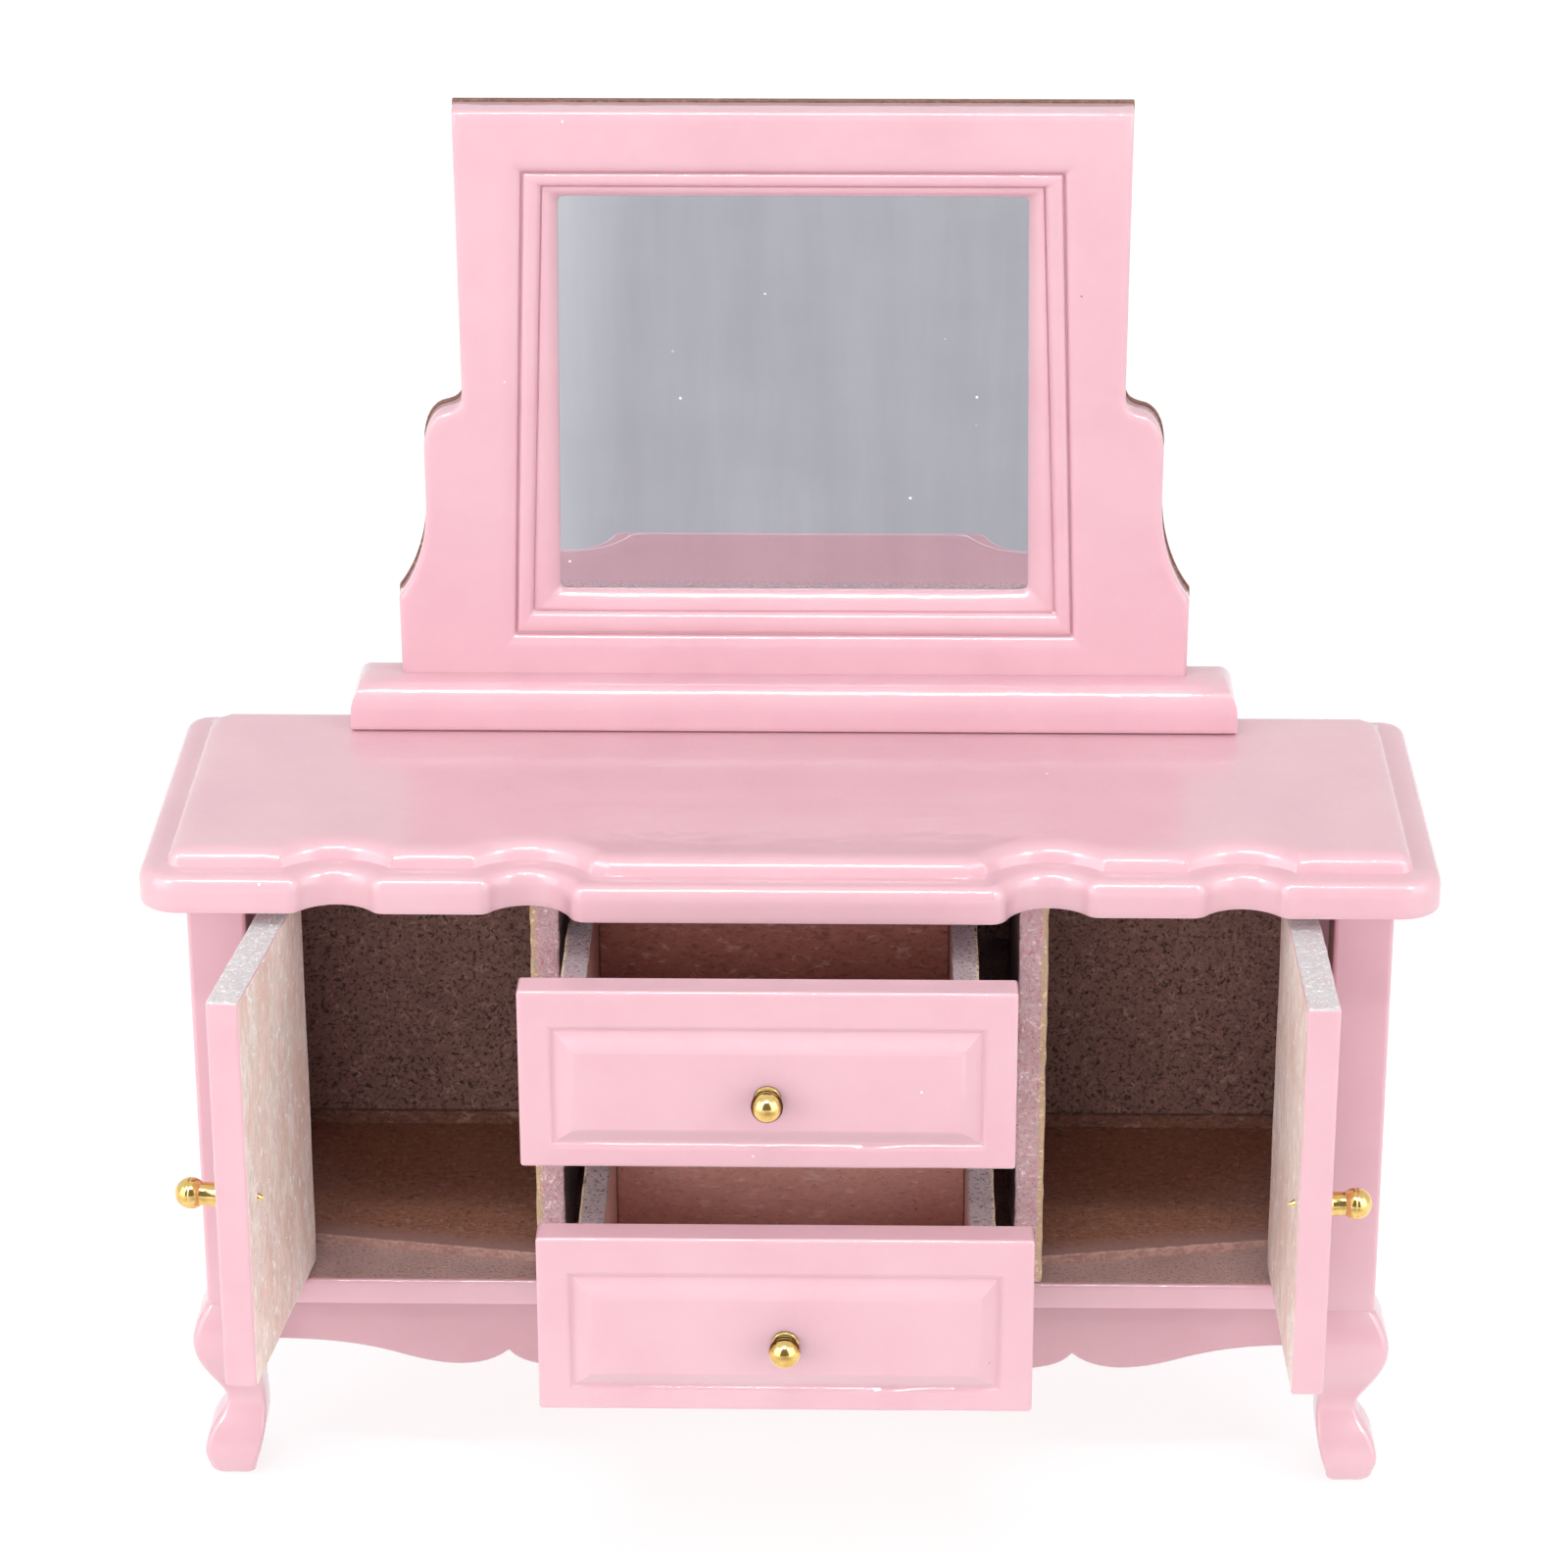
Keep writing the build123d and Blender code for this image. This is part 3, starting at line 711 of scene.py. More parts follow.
sheet_board = sheet_material()
random.seed(7)
for side, s in SIDES:
    lo, hi = node_box(f"{side}_floor_sheet")
    front = []
    for i in range(TORN_STEPS + 1):
        t = i / TORN_STEPS
        jag = random.uniform(0, 0.16) if 0 < i < TORN_STEPS else 0.0
        x = CUPBOARD_IN + (CUPBOARD_OUT - CUPBOARD_IN) * t
        front.append((s * x, SHEET_NEAR + (SHEET_FAR - SHEET_NEAR) * t + jag))
    loop = front + [(s * CUPBOARD_OUT, SHEET_BACK), (s * CUPBOARD_IN, SHEET_BACK)]
    if s < 0:
        loop = loop[::-1]
    bm = bmesh.new()
    slab(bm, loop, [(0.0, lo.z), (0.0, hi.z - 0.12), (0.10, hi.z), (0.3, hi.z)], on_plan)
    node = f"{side}_floor_sheet"
    finish_piece(f"{node}_board", bm, [sheet_board], "case", node)

# ==== legs ====
LEG_TOP = 18.8
FOOT_RISE = 1.2
FOOT_FLAT = (0.6, 3.1)
LEG_OUTER = [
    (LEG_TOP, 0.0), (17.2, -0.95), (15.2, -1.45), (12.6, -0.95), (9.6, 0.5), (7.6, 1.15), (6.6, 0.85),
    (5.4, 0.0), (3.8, -0.7), (2.2, -0.85), (FOOT_RISE, -0.6),
]
LEG_INNER = [(FOOT_RISE, 4.0), (3.2, 4.6), (5.6, 5.0), (8.4, 4.95), (12.4, 4.9), (LEG_TOP, 5.5)]


def natural_spline(rows):
    """A smooth function through rows of (x, y) sorted by x."""
    rows = sorted(rows)
    x = np.array([r[0] for r in rows])
    y = np.array([r[1] for r in rows])
    n = len(x)
    h = np.diff(x)
    a = np.eye(n)
    b = np.zeros(n)
    for i in range(1, n - 1):
        a[i, i - 1:i + 2] = (h[i - 1], 2 * (h[i - 1] + h[i]), h[i])
        b[i] = 6 * ((y[i + 1] - y[i]) / h[i] - (y[i] - y[i - 1]) / h[i - 1])
    m = np.linalg.solve(a, b)

    def value(t):
        i = int(np.clip(np.searchsorted(x, t) - 1, 0, n - 2))
        u, v = x[i + 1] - t, t - x[i]
        cubic = (m[i] * u ** 3 + m[i + 1] * v ** 3) / (6 * h[i])
        linear = (y[i] / h[i] - m[i] * h[i] / 6) * u + (y[i + 1] / h[i] - m[i + 1] * h[i] / 6) * v
        return float(cubic + linear)
    return value


outer_curve = natural_spline(LEG_OUTER)
inner_curve = natural_spline(LEG_INNER)


def rounded_square(near, far, radii, steps=5):
    """A square from near to far on both axes, each corner with its own radius."""
    centres = (
        (near + radii[0], near + radii[0], 180),
        (far - radii[1], near + radii[1], 270),
        (far - radii[2], far - radii[2], 0),
        (near + radii[3], far - radii[3], 90),
    )
    points = []
    for (cx, cy, start), radius in zip(centres, radii):
        points += arc((cx, cy), radius, start, start + 90, steps)
    return points


def leg_rings():
    """Rings of a leg: distances inward from the post's two outer faces, and height."""
    rings = []
    levels = [0.0, 0.03, 0.12, 0.28, 0.5, 0.8]
    levels += [FOOT_RISE + (LEG_TOP - FOOT_RISE) * i / 48 for i in range(49)]
    for z in levels:
        near, far = outer_curve(max(z, FOOT_RISE)), inner_curve(max(z, FOOT_RISE))
        if z < FOOT_RISE:
            t = math.sqrt(max(0.0, 1 - (1 - z / FOOT_RISE) ** 2))
            near = FOOT_FLAT[0] + (near - FOOT_FLAT[0]) * t
            far = FOOT_FLAT[1] + (far - FOOT_FLAT[1]) * t
        soft = 0.6 + 0.3 * math.exp(-((z - 15.0) / 3.0) ** 2) + 0.35 * math.exp(-(z / 2.5) ** 2)
        square = rounded_square(near, far, (soft, 0.5, 0.7, 0.5))
        rings.append([(a, b, z) for a, b in square])
    return rings


for side, s in SIDES:
    for end, corner, inward in (("front", 0.0, 1), ("rear", CARCASS_DEPTH, -1)):
        bm = bmesh.new()
        add_rings(bm, [
            [(s * (CARCASS_HALF - a), back(corner + inward * b), z) for a, b, z in ring]
            for ring in leg_rings()
        ])
        node = f"{end}_{side}_leg"
        finish_piece(f"{node}_carved", bm, [pink], "case", node, 50)

# ==== aprons ====
END_DROP = 4.4
MIDDLE_DROP = 8.4
SIDE_DROP = 6.2
APRON_BACK = 3.4
APRON_T = 2.4
CUSP = (27.2, -5.5)


def bezier(p0, p1, p2, p3, steps):
    """Points of a cubic curve, without its last one."""
    points = []
    for i in range(steps):
        t = i / steps
        w = ((1 - t) ** 3, 3 * t * (1 - t) ** 2, 3 * t * t * (1 - t), t ** 3)
        points.append(tuple(sum(k * p[a] for k, p in zip(w, (p0, p1, p2, p3))) for a in (0, 1)))
    return points


def apron_lower_edge():
    """The wavy lower edge from the right post to the middle, z down from the leg top."""
    start = (CUPBOARD_OUT, -END_DROP)
    points = bezier(start, (44.5, -END_DROP), (41.0, -4.9), (37.0, -6.2), 12)
    points += bezier((37.0, -6.2), (33.6, -7.2), (29.8, -7.7), CUSP, 12)
    points += bezier(CUSP, (25.9, -7.2), (23.4, -7.2), (19.0, -7.5), 10)
    points += bezier((19.0, -7.5), (12.0, -8.1), (6.0, -MIDDLE_DROP), (0.0, -MIDDLE_DROP), 14)
    return points


half = apron_lower_edge()
loop = [(-x, z) for x, z in half] + [(0.0, -MIDDLE_DROP)] + half[::-1]
loop += [(CUPBOARD_OUT, 0.0), (-CUPBOARD_OUT, 0.0)]
bm = bmesh.new()
slab(
    bm, spaced(loop, 4.0), rounded_profile(0.0, APRON_T, 0.35, 3),
    lambda x, z, t: (x, back(APRON_BACK - t), LEG_HEIGHT + z),
)
finish_piece("front_apron_shaped", bm, [shaded_pink_apron], "case", "front_apron")

for side, _ in SIDES:
    near, far = POST, CARCASS_DEPTH - POST
    lowest = ((near + far) / 2, -SIDE_DROP)
    loop = bezier((near, -END_DROP), (near + 5, -5.6), (near + 8, -SIDE_DROP), lowest, 10)
    loop += bezier(lowest, (far - 8, -SIDE_DROP), (far - 5, -5.6), (far, -END_DROP), 10)
    loop += [(far, -END_DROP), (far, 0.0), (near, 0.0)]
    node = f"{side}_side_apron"
    lo, hi = node_box(node)
    bm = bmesh.new()
    slab(
        bm, loop, rounded_profile(0.0, hi.x - lo.x, 0.35, 3),
        lambda y, z, t: (lo.x + t, back(y), LEG_HEIGHT + z),
    )
    finish_piece(f"{node}_shaped", bm, [shaded_pink_apron], "case", node)


# ==== knobs ====
KNOB_R = 1.45
NECK_R = 1.1
NAIL_R = 0.4
NAIL_REACH = 0.6
COLLAR_R = 1.25
KNOB_SIDES = 40
# The ball's two halves meet in a fine seam, this many degrees and millimetres wide.
SEAM = 2.5
SEAM_DEPTH = 0.035


def knob_profile(held, stand_off):
    """Radius and height along the knob's axis, from the nail's point to the ball's crown."""
    rows = [(0.02, -held - NAIL_REACH), (0.18, -held - 0.35), (NAIL_R, -held - 0.02)]
    rows += [(NAIL_R, -0.05), (1.02, -0.05)]
    rows += [(1.2, 0.0), (COLLAR_R, 0.06), (COLLAR_R, 0.18), (1.2, 0.27), (1.12, 0.34)]
    start = math.degrees(math.acos(NECK_R / KNOB_R))
    neck_end = stand_off - math.sqrt(KNOB_R ** 2 - NECK_R ** 2)
    rows += [(NECK_R, 0.44), (NECK_R, (0.44 + neck_end) / 2), (1.06, neck_end - 0.1), (NECK_R, neck_end)]
    lower = [-start + (start - SEAM) * i / 11 for i in range(1, 12)]
    upper = [SEAM + 86.0 * i / 13 for i in range(14)]
    for half_ball in (lower, upper):
        for degrees in half_ball:
            a = math.radians(degrees)
            rows.append((KNOB_R * math.cos(a), stand_off + KNOB_R * math.sin(a)))
        if half_ball is lower:
            rows += [(KNOB_R - SEAM_DEPTH, stand_off + step) for step in (-0.02, 0.02)]
    return rows


def knob_piece(body, origin, outward, held, stand_off):
    """A body's turned knob with its nail, lathed about the outward axis."""
    across = outward.cross(UP)
    rings = []
    for radius, height in knob_profile(held, stand_off):
        ring = []
        for i in range(KNOB_SIDES):
            a = 2 * math.pi * i / KNOB_SIDES
            ring.append(origin + outward * height + (across * math.cos(a) + UP * math.sin(a)) * radius)
        rings.append(ring)
    bm = bmesh.new()
    add_rings(bm, rings)
    finish_piece(f"{body}_knob_turned", bm, [gold], body, f"{body}_knob", 50)


# ==== doors ====
DOOR_W, DOOR_T, DOOR_H = 25.6, 3.0, 39.2
HINGE_SIDE = 2.8
HINGE_ROUND = 1.25
DOOR_Z = FLOOR_TOP + 0.3
DOOR_KNOB_UP = 17.8
DOOR_KNOB_IN = 3.9
MARGIN = 0.12
# Rows of how far inward, and how far up: a groove, the bevel and the raised field.
PANEL_PROFILE = [
    (0.22, -0.08), (0.2, -0.22), (0.2, -0.04), (0.16, 0.08), (0.12, 0.06), (0.5, 0.38),
    (0.55, 0.4), (0.3, 0.18), (0.14, 0.04), (0.1, 0.0), (0.25, 0.0),
]


def raise_panel(bm, face, border, drop=0.0):
    """Insets a flat border, then a groove and a bevel up to a raised field."""
    bmesh.ops.inset_region(bm, faces=[face], thickness=border - 0.15, use_even_offset=True)
    for v in face.verts:
        v.co.z -= drop
    bmesh.ops.inset_region(bm, faces=[face], thickness=0.15, use_even_offset=True)
    for thickness, rise in PANEL_PROFILE:
        bmesh.ops.inset_region(bm, faces=[face], thickness=thickness, use_even_offset=True)
        for v in face.verts:
            v.co += face.normal * rise


def panelled(bm, facing, border, drop=0.0):
    """Raises a panel on the large face that looks along the facing sign of y."""
    bm.normal_update()
    flat = [f for f in bm.faces if f.calc_area() > 20 and is_square_on(f)]
    bmesh.ops.inset_individual(bm, faces=flat, thickness=MARGIN, depth=0)
    bm.normal_update()
    outer = max((f for f in bm.faces if f.normal.y * facing > 0.99), key=lambda f: f.calc_area())
    raise_panel(bm, outer, border, drop)


def cut_long_edges(bm):
    """Cuts up the longest edges, so that the large faces can be made slightly uneven."""
    long_edges = [e for e in bm.edges if e.calc_length() > 20]
    bmesh.ops.subdivide_edges(bm, edges=long_edges, cuts=14, use_grid_fill=True)


def make_door(side, s, opening, stand_off):
    """A door swung open about its pins, its inner face bare and brushed."""
    angle = math.radians(opening)
    along = Vector((-s * math.cos(angle), -math.sin(angle), 0))
    outward = Vector((s * math.sin(angle), -math.cos(angle), 0))
    pin = Vector((s * PIN_HALF, back(PIN_DEPTH), DOOR_Z))
    bm = block((DOOR_W, DOOR_T, DOOR_H), (DOOR_W / 2 - HINGE_SIDE, 0, DOOR_H / 2))
    hinge = [
        e for e in bm.edges
        if all(v.co.x < 0 for v in e.verts) and abs(e.verts[0].co.z - e.verts[1].co.z) > 1
    ]
    round_edges(bm, hinge, HINGE_ROUND, 7)
    sharp = [e for e in bm.edges if len(e.link_faces) == 2 and e.calc_face_angle() > 1.2]
    round_edges(bm, sharp, 0.32, 4)
    panelled(bm, 1, 5.0)
    paint_faces(bm, 1, lambda f: f.normal.y < -0.97)
    paint_faces(bm, 2, lambda f: f.normal.z > 0.8)
    cut_long_edges(bm)
    roughen(bm, 0.07, 0.9, lambda v: v.co.z > DOOR_H - 0.35, 5.0 * s)
    roughen(bm, 0.05, 0.16, lambda v: v.co.y < -DOOR_T / 2 + 0.35 or v.co.y > DOOR_T / 2 - 0.35, 2.0 + s)
    for v in bm.verts:
        x, y, z = v.co
        v.co = pin + along * x + outward * y + UP * z
    body = f"{side}_door"
    finish_piece(f"{body}_panelled", bm, [pink, beige, sealed_edge], body, body, 30)
    free = DOOR_W - HINGE_SIDE
    knob_at = pin + along * (free - DOOR_KNOB_IN) + outward * (DOOR_T / 2) + UP * DOOR_KNOB_UP
    knob_piece(body, knob_at, outward, DOOR_T, stand_off)


make_door("left", -1, 97.0, 3.3)
make_door("right", 1, 91.0, 2.6)

# ==== drawers ====
FRONT_W, FRONT_H, FRONT_T = 44.9, 17.6, 3.2
FRONT_GAP = 0.35
FRONT_PROUD = 3.05
FIELD_SINK = 0.8
DRAWER_KNOB_DROP = 1.3
DRAWER_KNOB_OUT = 1.7
WORN_FROM = 14.0


def top_is_worn(bm, lo, hi):
    """Drawer side: a pitted top edge whose outer arris shows pale, and a bare inner face."""
    outer = hi.x if abs(hi.x) > abs(lo.x) else lo.x
    inner_sign = -1 if outer > 0 else 1
    paint_faces(bm, 1, lambda f: f.calc_center_median().z > hi.z - 0.2)
    paint_faces(
        bm, 2,
        lambda f: f.calc_center_median().z > hi.z - 0.24 and abs(f.calc_center_median().x - outer) < 0.27,
    )
    paint_faces(bm, 3, lambda f: f.normal.x * inner_sign > 0.9)


def inside_bare(bm, lo, hi):
    """The face towards the front stays bare."""
    paint_faces(bm, 1, lambda f: f.normal.y < -0.9)


def make_drawer(level, drawn, floor, shift, inside):
    """A drawer: moulded front, thin box sides and bottom, and its knob."""
    body = f"{level}_drawer"
    face_depth = -FRONT_PROUD - drawn
    middle = floor + FRONT_GAP + FRONT_H / 2
    bm = block((FRONT_W, FRONT_T, FRONT_H))
    round_edges(bm, list(bm.edges), 0.34, 4)
    panelled(bm, -1, 2.2, 0.75)
    paint_faces(bm, 1, lambda f: f.normal.y > 0.97)
    cut_long_edges(bm)
    roughen(bm, 0.05, 0.15, lambda v: v.co.y < -FRONT_T / 2 + 0.3, 4.0)
    place = Vector((shift, back(face_depth + FRONT_T / 2), middle))
    for v in bm.verts:
        v.co += place
    finish_piece(f"{body}_front_moulded", bm, [pink, inside], body, f"{body}_front", 30)
    knob_at = Vector((shift, back(face_depth) - FIELD_SINK, middle - DRAWER_KNOB_DROP))
    knob_piece(body, knob_at, Vector((0, -1, 0)), FRONT_T + FIELD_SINK, DRAWER_KNOB_OUT)
    for side, _ in SIDES:
        node = f"{body}_{side}_side"
        board_piece(
            f"{node}_board", node, [overspray, edge_spray, cut_edge, inside], 0.2, body,
            top_is_worn, 1.4, (0.12, 1.2, lambda v: v.co.z > floor + WORN_FROM, 7.0),
        )
    node = f"{body}_back"
    board_piece(f"{node}_sprayed", node, [overspray, inside], 0.2, body, inside_bare)
    node = f"{body}_bottom"
    board_piece(f"{node}_board", node, [inside], 0.12, body)


shelf_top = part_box("drawer_shelf")[1].z / MM
make_drawer("upper", 15.6, shelf_top, -1.65, red_board)
# The lower drawer's inside is the lighter copy of the board, painted light for the light that falls into
# it.
make_drawer("lower", 21.6, FLOOR_TOP, 0.0, lit_pale_board)

# ==== mirror ====
LEAN = math.radians(4.5)
FOOT = Vector((0, back(30.3), TOP_SURFACE))
FACE_UP = Vector((0, -math.sin(LEAN), math.cos(LEAN)))
FACE_OUT = Vector((0, -math.cos(LEAN), -math.sin(LEAN)))
FRAME_T = 3.0
FRAME_FOOT = 4.2
FRAME_TOP = 62.4
LOWER_HALF = 38.2
WAIST_HALF = 35.25
UPPER_HALF = 31.45
CORNER_STEPS = 4
EDGE_STEPS = 8
# Each trapezoid: half width and height of its top, half width and height of its foot.
SHOULDER = (26.6, 57.7, 28.5, 7.4)
GROOVE = (25.2, 56.4, 27.0, 8.8)
BEAD_END = (23.4, 54.9, 25.3, 11.1)
OPENING = (21.95, 53.45, 22.65, 13.05)
BACK_OPENING = (22.0, 53.4, 22.6, 13.1)
OPENING_R = 0.7
# Each part of the moulding: where it starts and ends, its corner radius and how much that grows,
# and rows of how far along it and how far behind the face.
MOULDING = (
    (SHOULDER, GROOVE, 0.25, 0.0, (
        (-0.25, 0.0), (0.0, 0.0), (0.3, 0.03), (0.6, 0.12), (0.82, 0.28), (0.95, 0.5), (1.0, 0.78),
    )),
    (GROOVE, BEAD_END, 0.2, 0.0, (
        (0.07, 0.78), (0.12, 0.5), (0.22, 0.32), (0.4, 0.28), (0.62, 0.3), (0.8, 0.4), (0.92, 0.62),
        (0.98, 0.95),
    )),
    (BEAD_END, OPENING, 0.2, 0.5, (
        (0.03, 1.05), (0.1, 0.86), (0.25, 0.84), (0.45, 0.98), (0.65, 1.24), (0.85, 1.62), (0.97, 1.95),
        (1.0, 2.2),
    )),
)
# The frame's outer edge: rows of how far inside the outline, and how far out from the face.
FRAME_EDGE = [
    (0.9, 0.0), (0.65, 0.0), (0.4, -0.04), (0.2, -0.13), (0.05, -0.3), (0.0, -0.5), (0.0, -2.8),
    (0.15, -FRAME_T),
]


def on_frame(x, v, out):
    """A point on the leaning frame: across, up the face and out from it."""
    return Vector((x, 0, 0)) + FOOT + FACE_UP * v + FACE_OUT * out


def frame_outline():
    """Outline of the frame's face, counter-clockwise from its foot."""
    hip, waist, ear, neck = (LOWER_HALF, 12.8), (WAIST_HALF, 23.0), (33.05, 32.2), (UPPER_HALF, 33.9)
    half_loop = [(LOWER_HALF, FRAME_FOOT), hip]
    half_loop += bezier(hip, (37.3, 14.0), (35.3, 17.2), waist, 14)[1:]
    half_loop += [waist, (WAIST_HALF, 28.4)]
    half_loop += bezier((WAIST_HALF, 28.4), (35.2, 30.4), (34.4, 32.0), ear, 8)[1:]
    half_loop += [ear]
    half_loop += bezier(ear, (32.3, 32.4), (31.5, 32.7), neck, 6)[1:]
    half_loop += [neck, (UPPER_HALF, FRAME_TOP)]
    return half_loop + [(-x, v) for x, v in reversed(half_loop)]


def trapezoid(top_half, top, foot_half, foot, radius):
    """A trapezoid with rounded corners, counter-clockwise from the lower right."""
    corners = [(foot_half, foot), (top_half, top), (-top_half, top), (-foot_half, foot)]
    corners = [Vector(corner) for corner in corners]
    points = []
    for i, corner in enumerate(corners):
        following = corners[(i + 1) % 4]
        after = (following - corner).normalized() * radius
        a = corner + (corners[i - 1] - corner).normalized() * radius
        b = corner + after
        for k in range(CORNER_STEPS + 1):
            t = k / CORNER_STEPS
            points.append(a * (1 - t) ** 2 + corner * 2 * t * (1 - t) + b * t * t)
        points += [b.lerp(following - after, k / EDGE_STEPS) for k in range(1, EDGE_STEPS)]
    return [(p.x, p.y) for p in points]


def between(a, b, t):
    """A trapezoid part of the way from one to another."""
    return tuple(p + (q - p) * t for p, q in zip(a, b))


def fill_between(bm, first, second, normal):
    """Fills the flat region between two closed rows of vertices."""
    edges = []
    for row in (first, second):
        for a, b in zip(row, row[1:] + row[:1]):
            edges.append(bm.edges.get((a, b)) or bm.edges.new((a, b)))
    bmesh.ops.triangle_fill(bm, edges=edges, use_beauty=True, use_dissolve=False, normal=normal)


mould = []
for first, second, radius, growth, rows in MOULDING:
    mould += [(between(first, second, t), depth, radius + growth * t) for t, depth in rows]
mould += [(OPENING, 2.3, OPENING_R), (BACK_OPENING, FRAME_T, OPENING_R)]
bm = bmesh.new()
inner_rows = add_rings(bm, [
    [on_frame(x, v, -depth) for x, v in trapezoid(*quad, radius)] for quad, depth, radius in mould
], capped=False)
outline = spaced(frame_outline(), 3.0)
outer_rows = add_rings(bm, [
    [on_frame(x, v, out) for x, v in inset_loop(outline, inset)] for inset, out in FRAME_EDGE
], capped=False)
fill_between(bm, outer_rows[0], inner_rows[0], FACE_OUT)
fill_between(bm, outer_rows[-1], inner_rows[-1], -FACE_OUT)
finish_piece("mirror_frame_moulded", bm, [pink], "case", "mirror_frame", 48)

# ---- glass, with a bevelled rim ----
mirror = silvered("mirror_silver", TOP_SURFACE + OPENING[3] * math.cos(LEAN), 1.0)
bm = bmesh.new()
pane = spaced(trapezoid(23.5, 55.0, 23.5, 12.2, 0.4), 4.0)
slab(bm, pane, [(0.25, -FRAME_T), (0.0, -2.95), (0.0, -2.42), (0.14, -2.31), (0.5, -2.31)], on_frame)
finish_piece("mirror_glass_pane", bm, [mirror], "case", "mirror_glass")

# ---- back board, its dark edge a little proud of the frame ----
bm = bmesh.new()
proud = [(x * 1.004, v + (0.05 if v > 60 else 0)) for x, v in frame_outline()]
edge = [(0.3, -4.0), (0.05, -3.9), (0.0, -3.7), (0.0, -3.02), (0.3, -FRAME_T)]
slab(bm, spaced(proud, 3.0), edge, on_frame)
finish_piece("mirror_board_brown", bm, [brown_board], "case", "mirror_back_board")

# ---- plinth: a thin dark gap at its foot, an upright edge and a rounded shoulder ----
PLINTH_SPRING = 2.1
lo, hi = node_box("mirror_plinth")
plan = [(lo.x, lo.y), (hi.x, lo.y), (hi.x, hi.y), (lo.x, hi.y)]
rows = [(0.6, 0.0), (0.5, 0.15), (0.12, 0.17), (0.0, 0.32), (0.0, 0.7), (0.0, 1.6), (0.02, PLINTH_SPRING)]
for i in range(1, 9):
    a = math.pi / 2 * i / 8
    rows.append((0.02 + 2.2 * (1 - math.cos(a)), PLINTH_SPRING + 2.62 * math.sin(a)))
rows += [(2.5, 4.77), (2.9, 4.8), (3.4, 4.8)]
bm = bmesh.new()
slab(bm, spaced(plan, 5.0), rows, lambda x, y, z: (x, y, TOP_SURFACE + z))
finish_piece("mirror_plinth_rounded", bm, [pink], "case", "mirror_plinth", 50)

# ==== hinge pins, which keep their CAD shape ====
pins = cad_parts["door_hinge_pins"].data
pins.materials.clear()
pins.materials.append(wire)


# ==== stage ====
def floor_material():
    """Pale floor with a grey patch in front of the object and a lighter strip to its left, painted for its
    mirror to reflect as shade and light.
    """
    material, add = new_material("pale_floor")
    where = object_coords(add)
    depth = component(add, where, "Y")
    side = component(add, where, "X")
    # Painted reflection: tone 0 is the grey patch that the mirror shows as shade and 1 is the white floor;
    # left of the object the floor turns half lighter, a painted light side in the mirror.
    tone = ramp(add, depth, -115.0, -45.0)
    for part in (
        ramp(add, depth, -320.0, -420.0),
        ramp(add, maths(add, "ABSOLUTE", side), 75.0, 130.0),
        ramp(add, side, -27.0, -46.0, 0.0, 0.5),
    ):
        tone = maths(add, "MAXIMUM", tone, part)
    grain = noise_tex(add, where, 0.05)
    near = mix_colour(add, ramp(add, grain, 0.3, 0.7), (0.43, 0.427, 0.462, 1), (0.475, 0.47, 0.503, 1))
    surface(add, {
        "Base Color": mix_colour(add, tone, (0.16, 0.16, 0.17, 1), (0.3, 0.3, 0.3, 1)),
        "Roughness": 0.9,
        "Specular IOR Level": 0.1,
        "Emission Color": mix_colour(add, tone, near, (1.0, 1.0, 1.0, 1)),
        "Emission Strength": 0.74,
    })
    return material


FLOOR_HALF = 6.0
mesh = bpy.data.meshes.new("floor")
corners = [(x * FLOOR_HALF, y * FLOOR_HALF, 0) for x, y in ((-1, -1), (1, -1), (1, 1), (-1, 1))]
mesh.from_pydata(corners, [], [(0, 1, 2, 3)])
mesh.materials.append(floor_material())
floor = bpy.data.objects.new("floor", mesh)
bpy.context.scene.collection.objects.link(floor)

# A white room with a darker patch in front, where the photographer would stand.
world = bpy.data.worlds.new("studio")
bpy.context.scene.world = world
world.use_nodes = True
add = node_adder(world.node_tree)
direction = add("ShaderNodeTexCoord").outputs["Generated"]
facing = add(
    "ShaderNodeVectorMath", {0: direction, 1: (0.0, -0.93, 0.36)}, operation="DOT_PRODUCT"
).outputs["Value"]
tone = add(
    "ShaderNodeMapRange",
    {"Value": facing, "From Min": 0.70, "From Max": 0.92, "To Min": 1.0, "To Max": 0.25},
    interpolation_type="SMOOTHSTEP",
).outputs["Result"]
background = world.node_tree.nodes["Background"]
background.inputs["Strength"].default_value = 0.85
world.node_tree.links.new(tone, background.inputs["Color"])


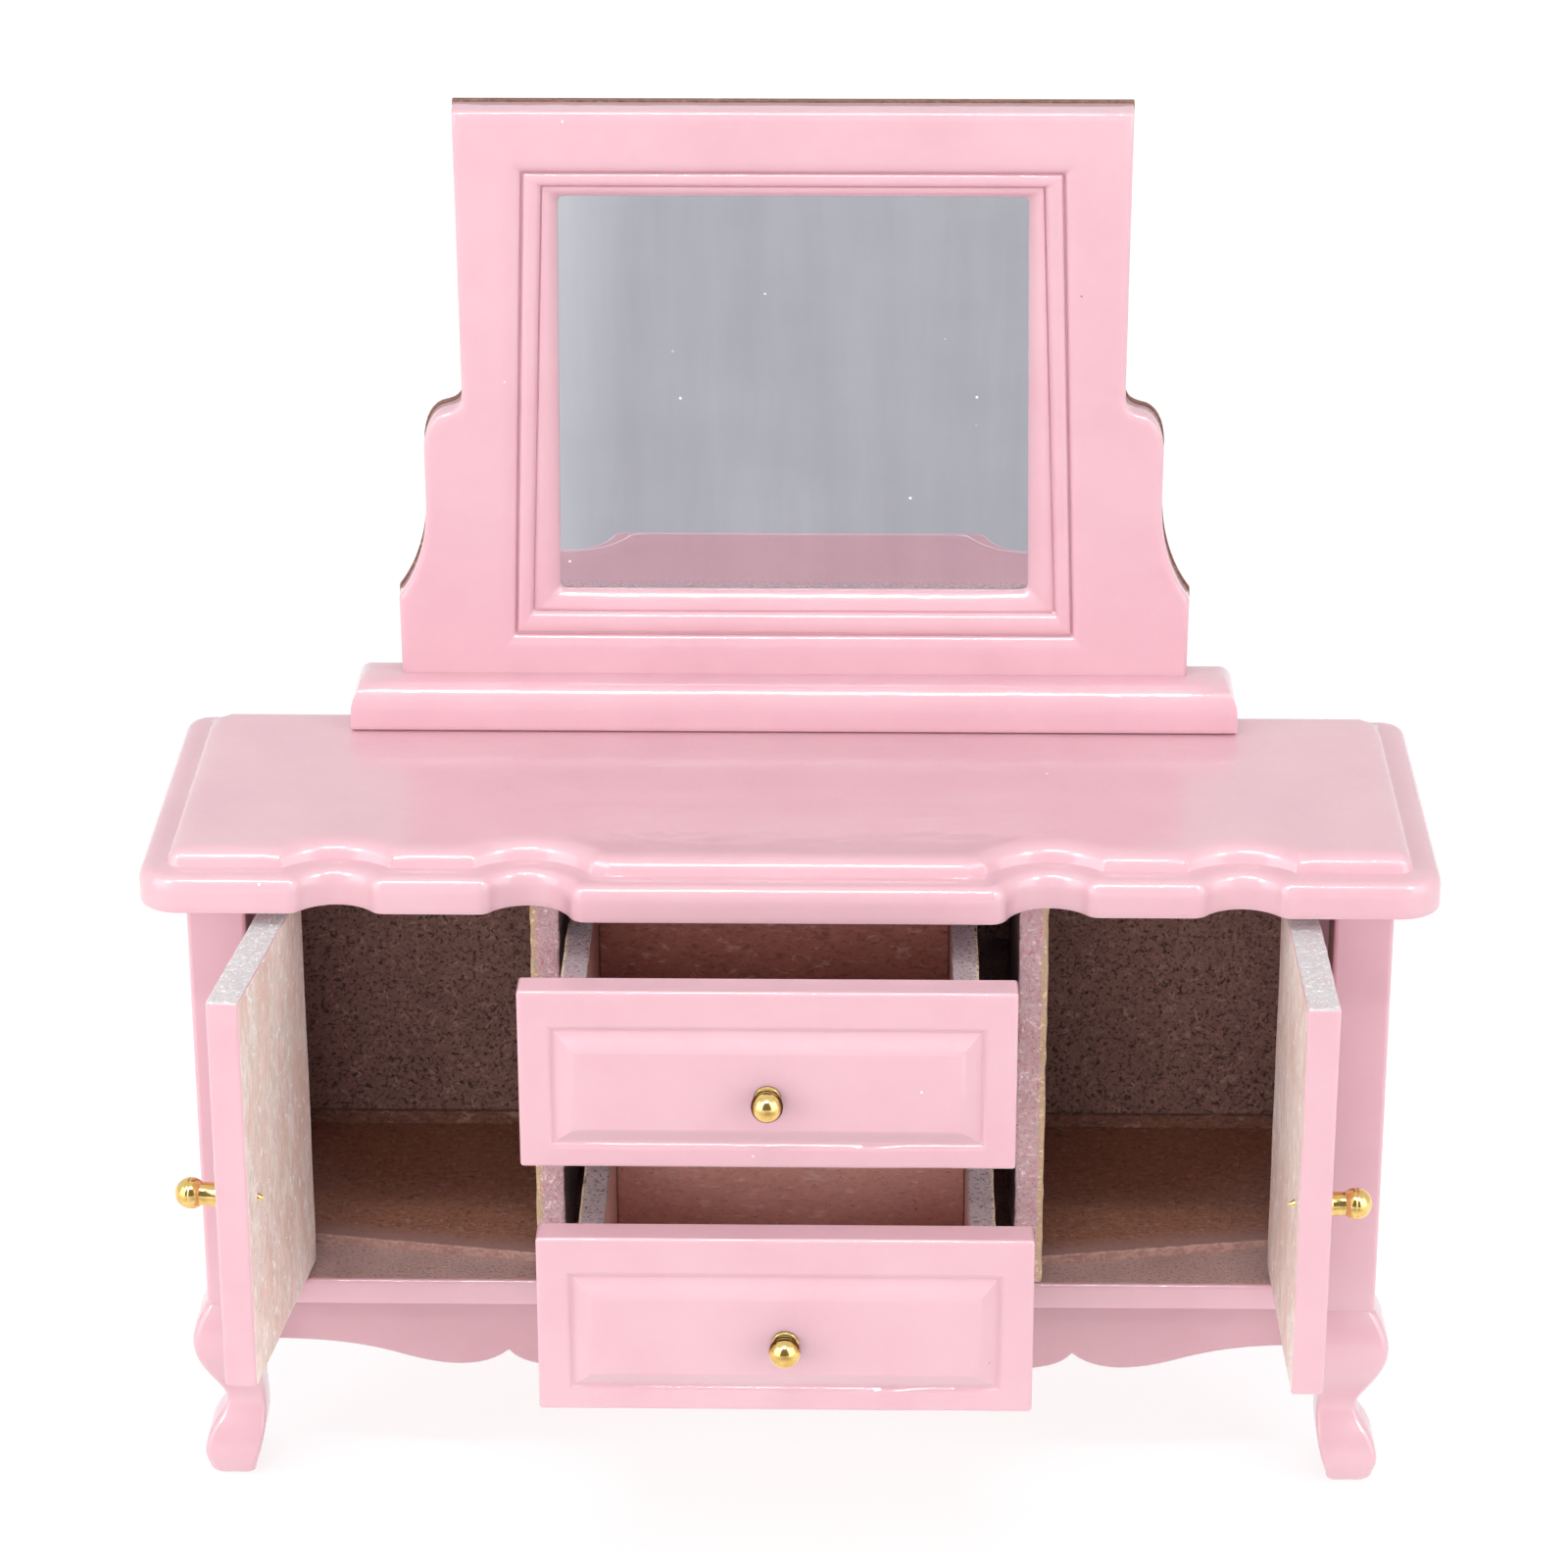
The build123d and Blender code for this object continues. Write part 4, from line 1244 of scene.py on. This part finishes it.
def softbox(name, place, target, width, height, power, glints=True, fills=True):
    """A soft rectangular light, which may be left out of reflections or only be seen in them."""
    data = bpy.data.lights.new(name, "AREA")
    data.shape = "RECTANGLE"
    data.size = width
    data.size_y = height
    data.energy = power
    light = bpy.data.objects.new(name, data)
    light.location = place
    light.visible_glossy = glints
    light.visible_diffuse = fills
    light.rotation_euler = (Vector(target) - Vector(place)).to_track_quat("-Z", "Y").to_euler()
    bpy.context.scene.collection.objects.link(light)


# The key light isn't reflected, and the small glint lights are seen in reflections alone.
softbox("key", (-0.12, -1.05, 0.36), (0, 0, 0.06), 0.6, 0.4, 4.7, False)
softbox("left_fill", (-0.85, -0.55, 0.42), (0, 0, 0.05), 0.9, 0.9, 5.5)
softbox("right_fill", (0.85, -0.55, 0.42), (0, 0, 0.05), 0.9, 0.9, 4.9)
softbox("strip", (-0.05, -0.42, 0.95), (0, 0, 0.06), 0.42, 0.06, 2.2)
softbox("middle_glint", (-0.05, -0.5, 0.93), (0, 0, 0.06), 0.36, 0.03, 3.5, True, False)
for side, s in SIDES:
    softbox(f"{side}_glint", (0.5 * s, -0.55, 0.8), (0, 0, 0.06), 0.12, 0.12, 8.0, True, False)

# ==== camera ====
yaw, pitch, roll = math.radians(1.046), math.radians(23.082), math.radians(-0.127)
forward = Vector((-math.sin(yaw) * math.cos(pitch), math.cos(yaw) * math.cos(pitch), -math.sin(pitch)))
level = forward.cross(Vector((0, 0, 1))).normalized()
above = level.cross(forward)
right = level * math.cos(roll) + above * math.sin(roll)
upward = above * math.cos(roll) - level * math.sin(roll)
camera_data = bpy.data.cameras.new("camera")
camera_data.lens = 113.1
camera_data.sensor_width = 36
camera = bpy.data.objects.new("camera", camera_data)
bpy.context.scene.collection.objects.link(camera)
pose = Matrix((right, upward, -forward)).transposed().to_4x4()
pose.translation = Vector((7.14, FRONT_PLANE - 415.35, 250.5)) * MM
camera.matrix_world = pose
bpy.context.scene.camera = camera
bpy.context.scene.view_settings.view_transform = "Standard"
bpy.context.scene.cycles.max_bounces = 8
bpy.context.scene.cycles.caustics_reflective = False
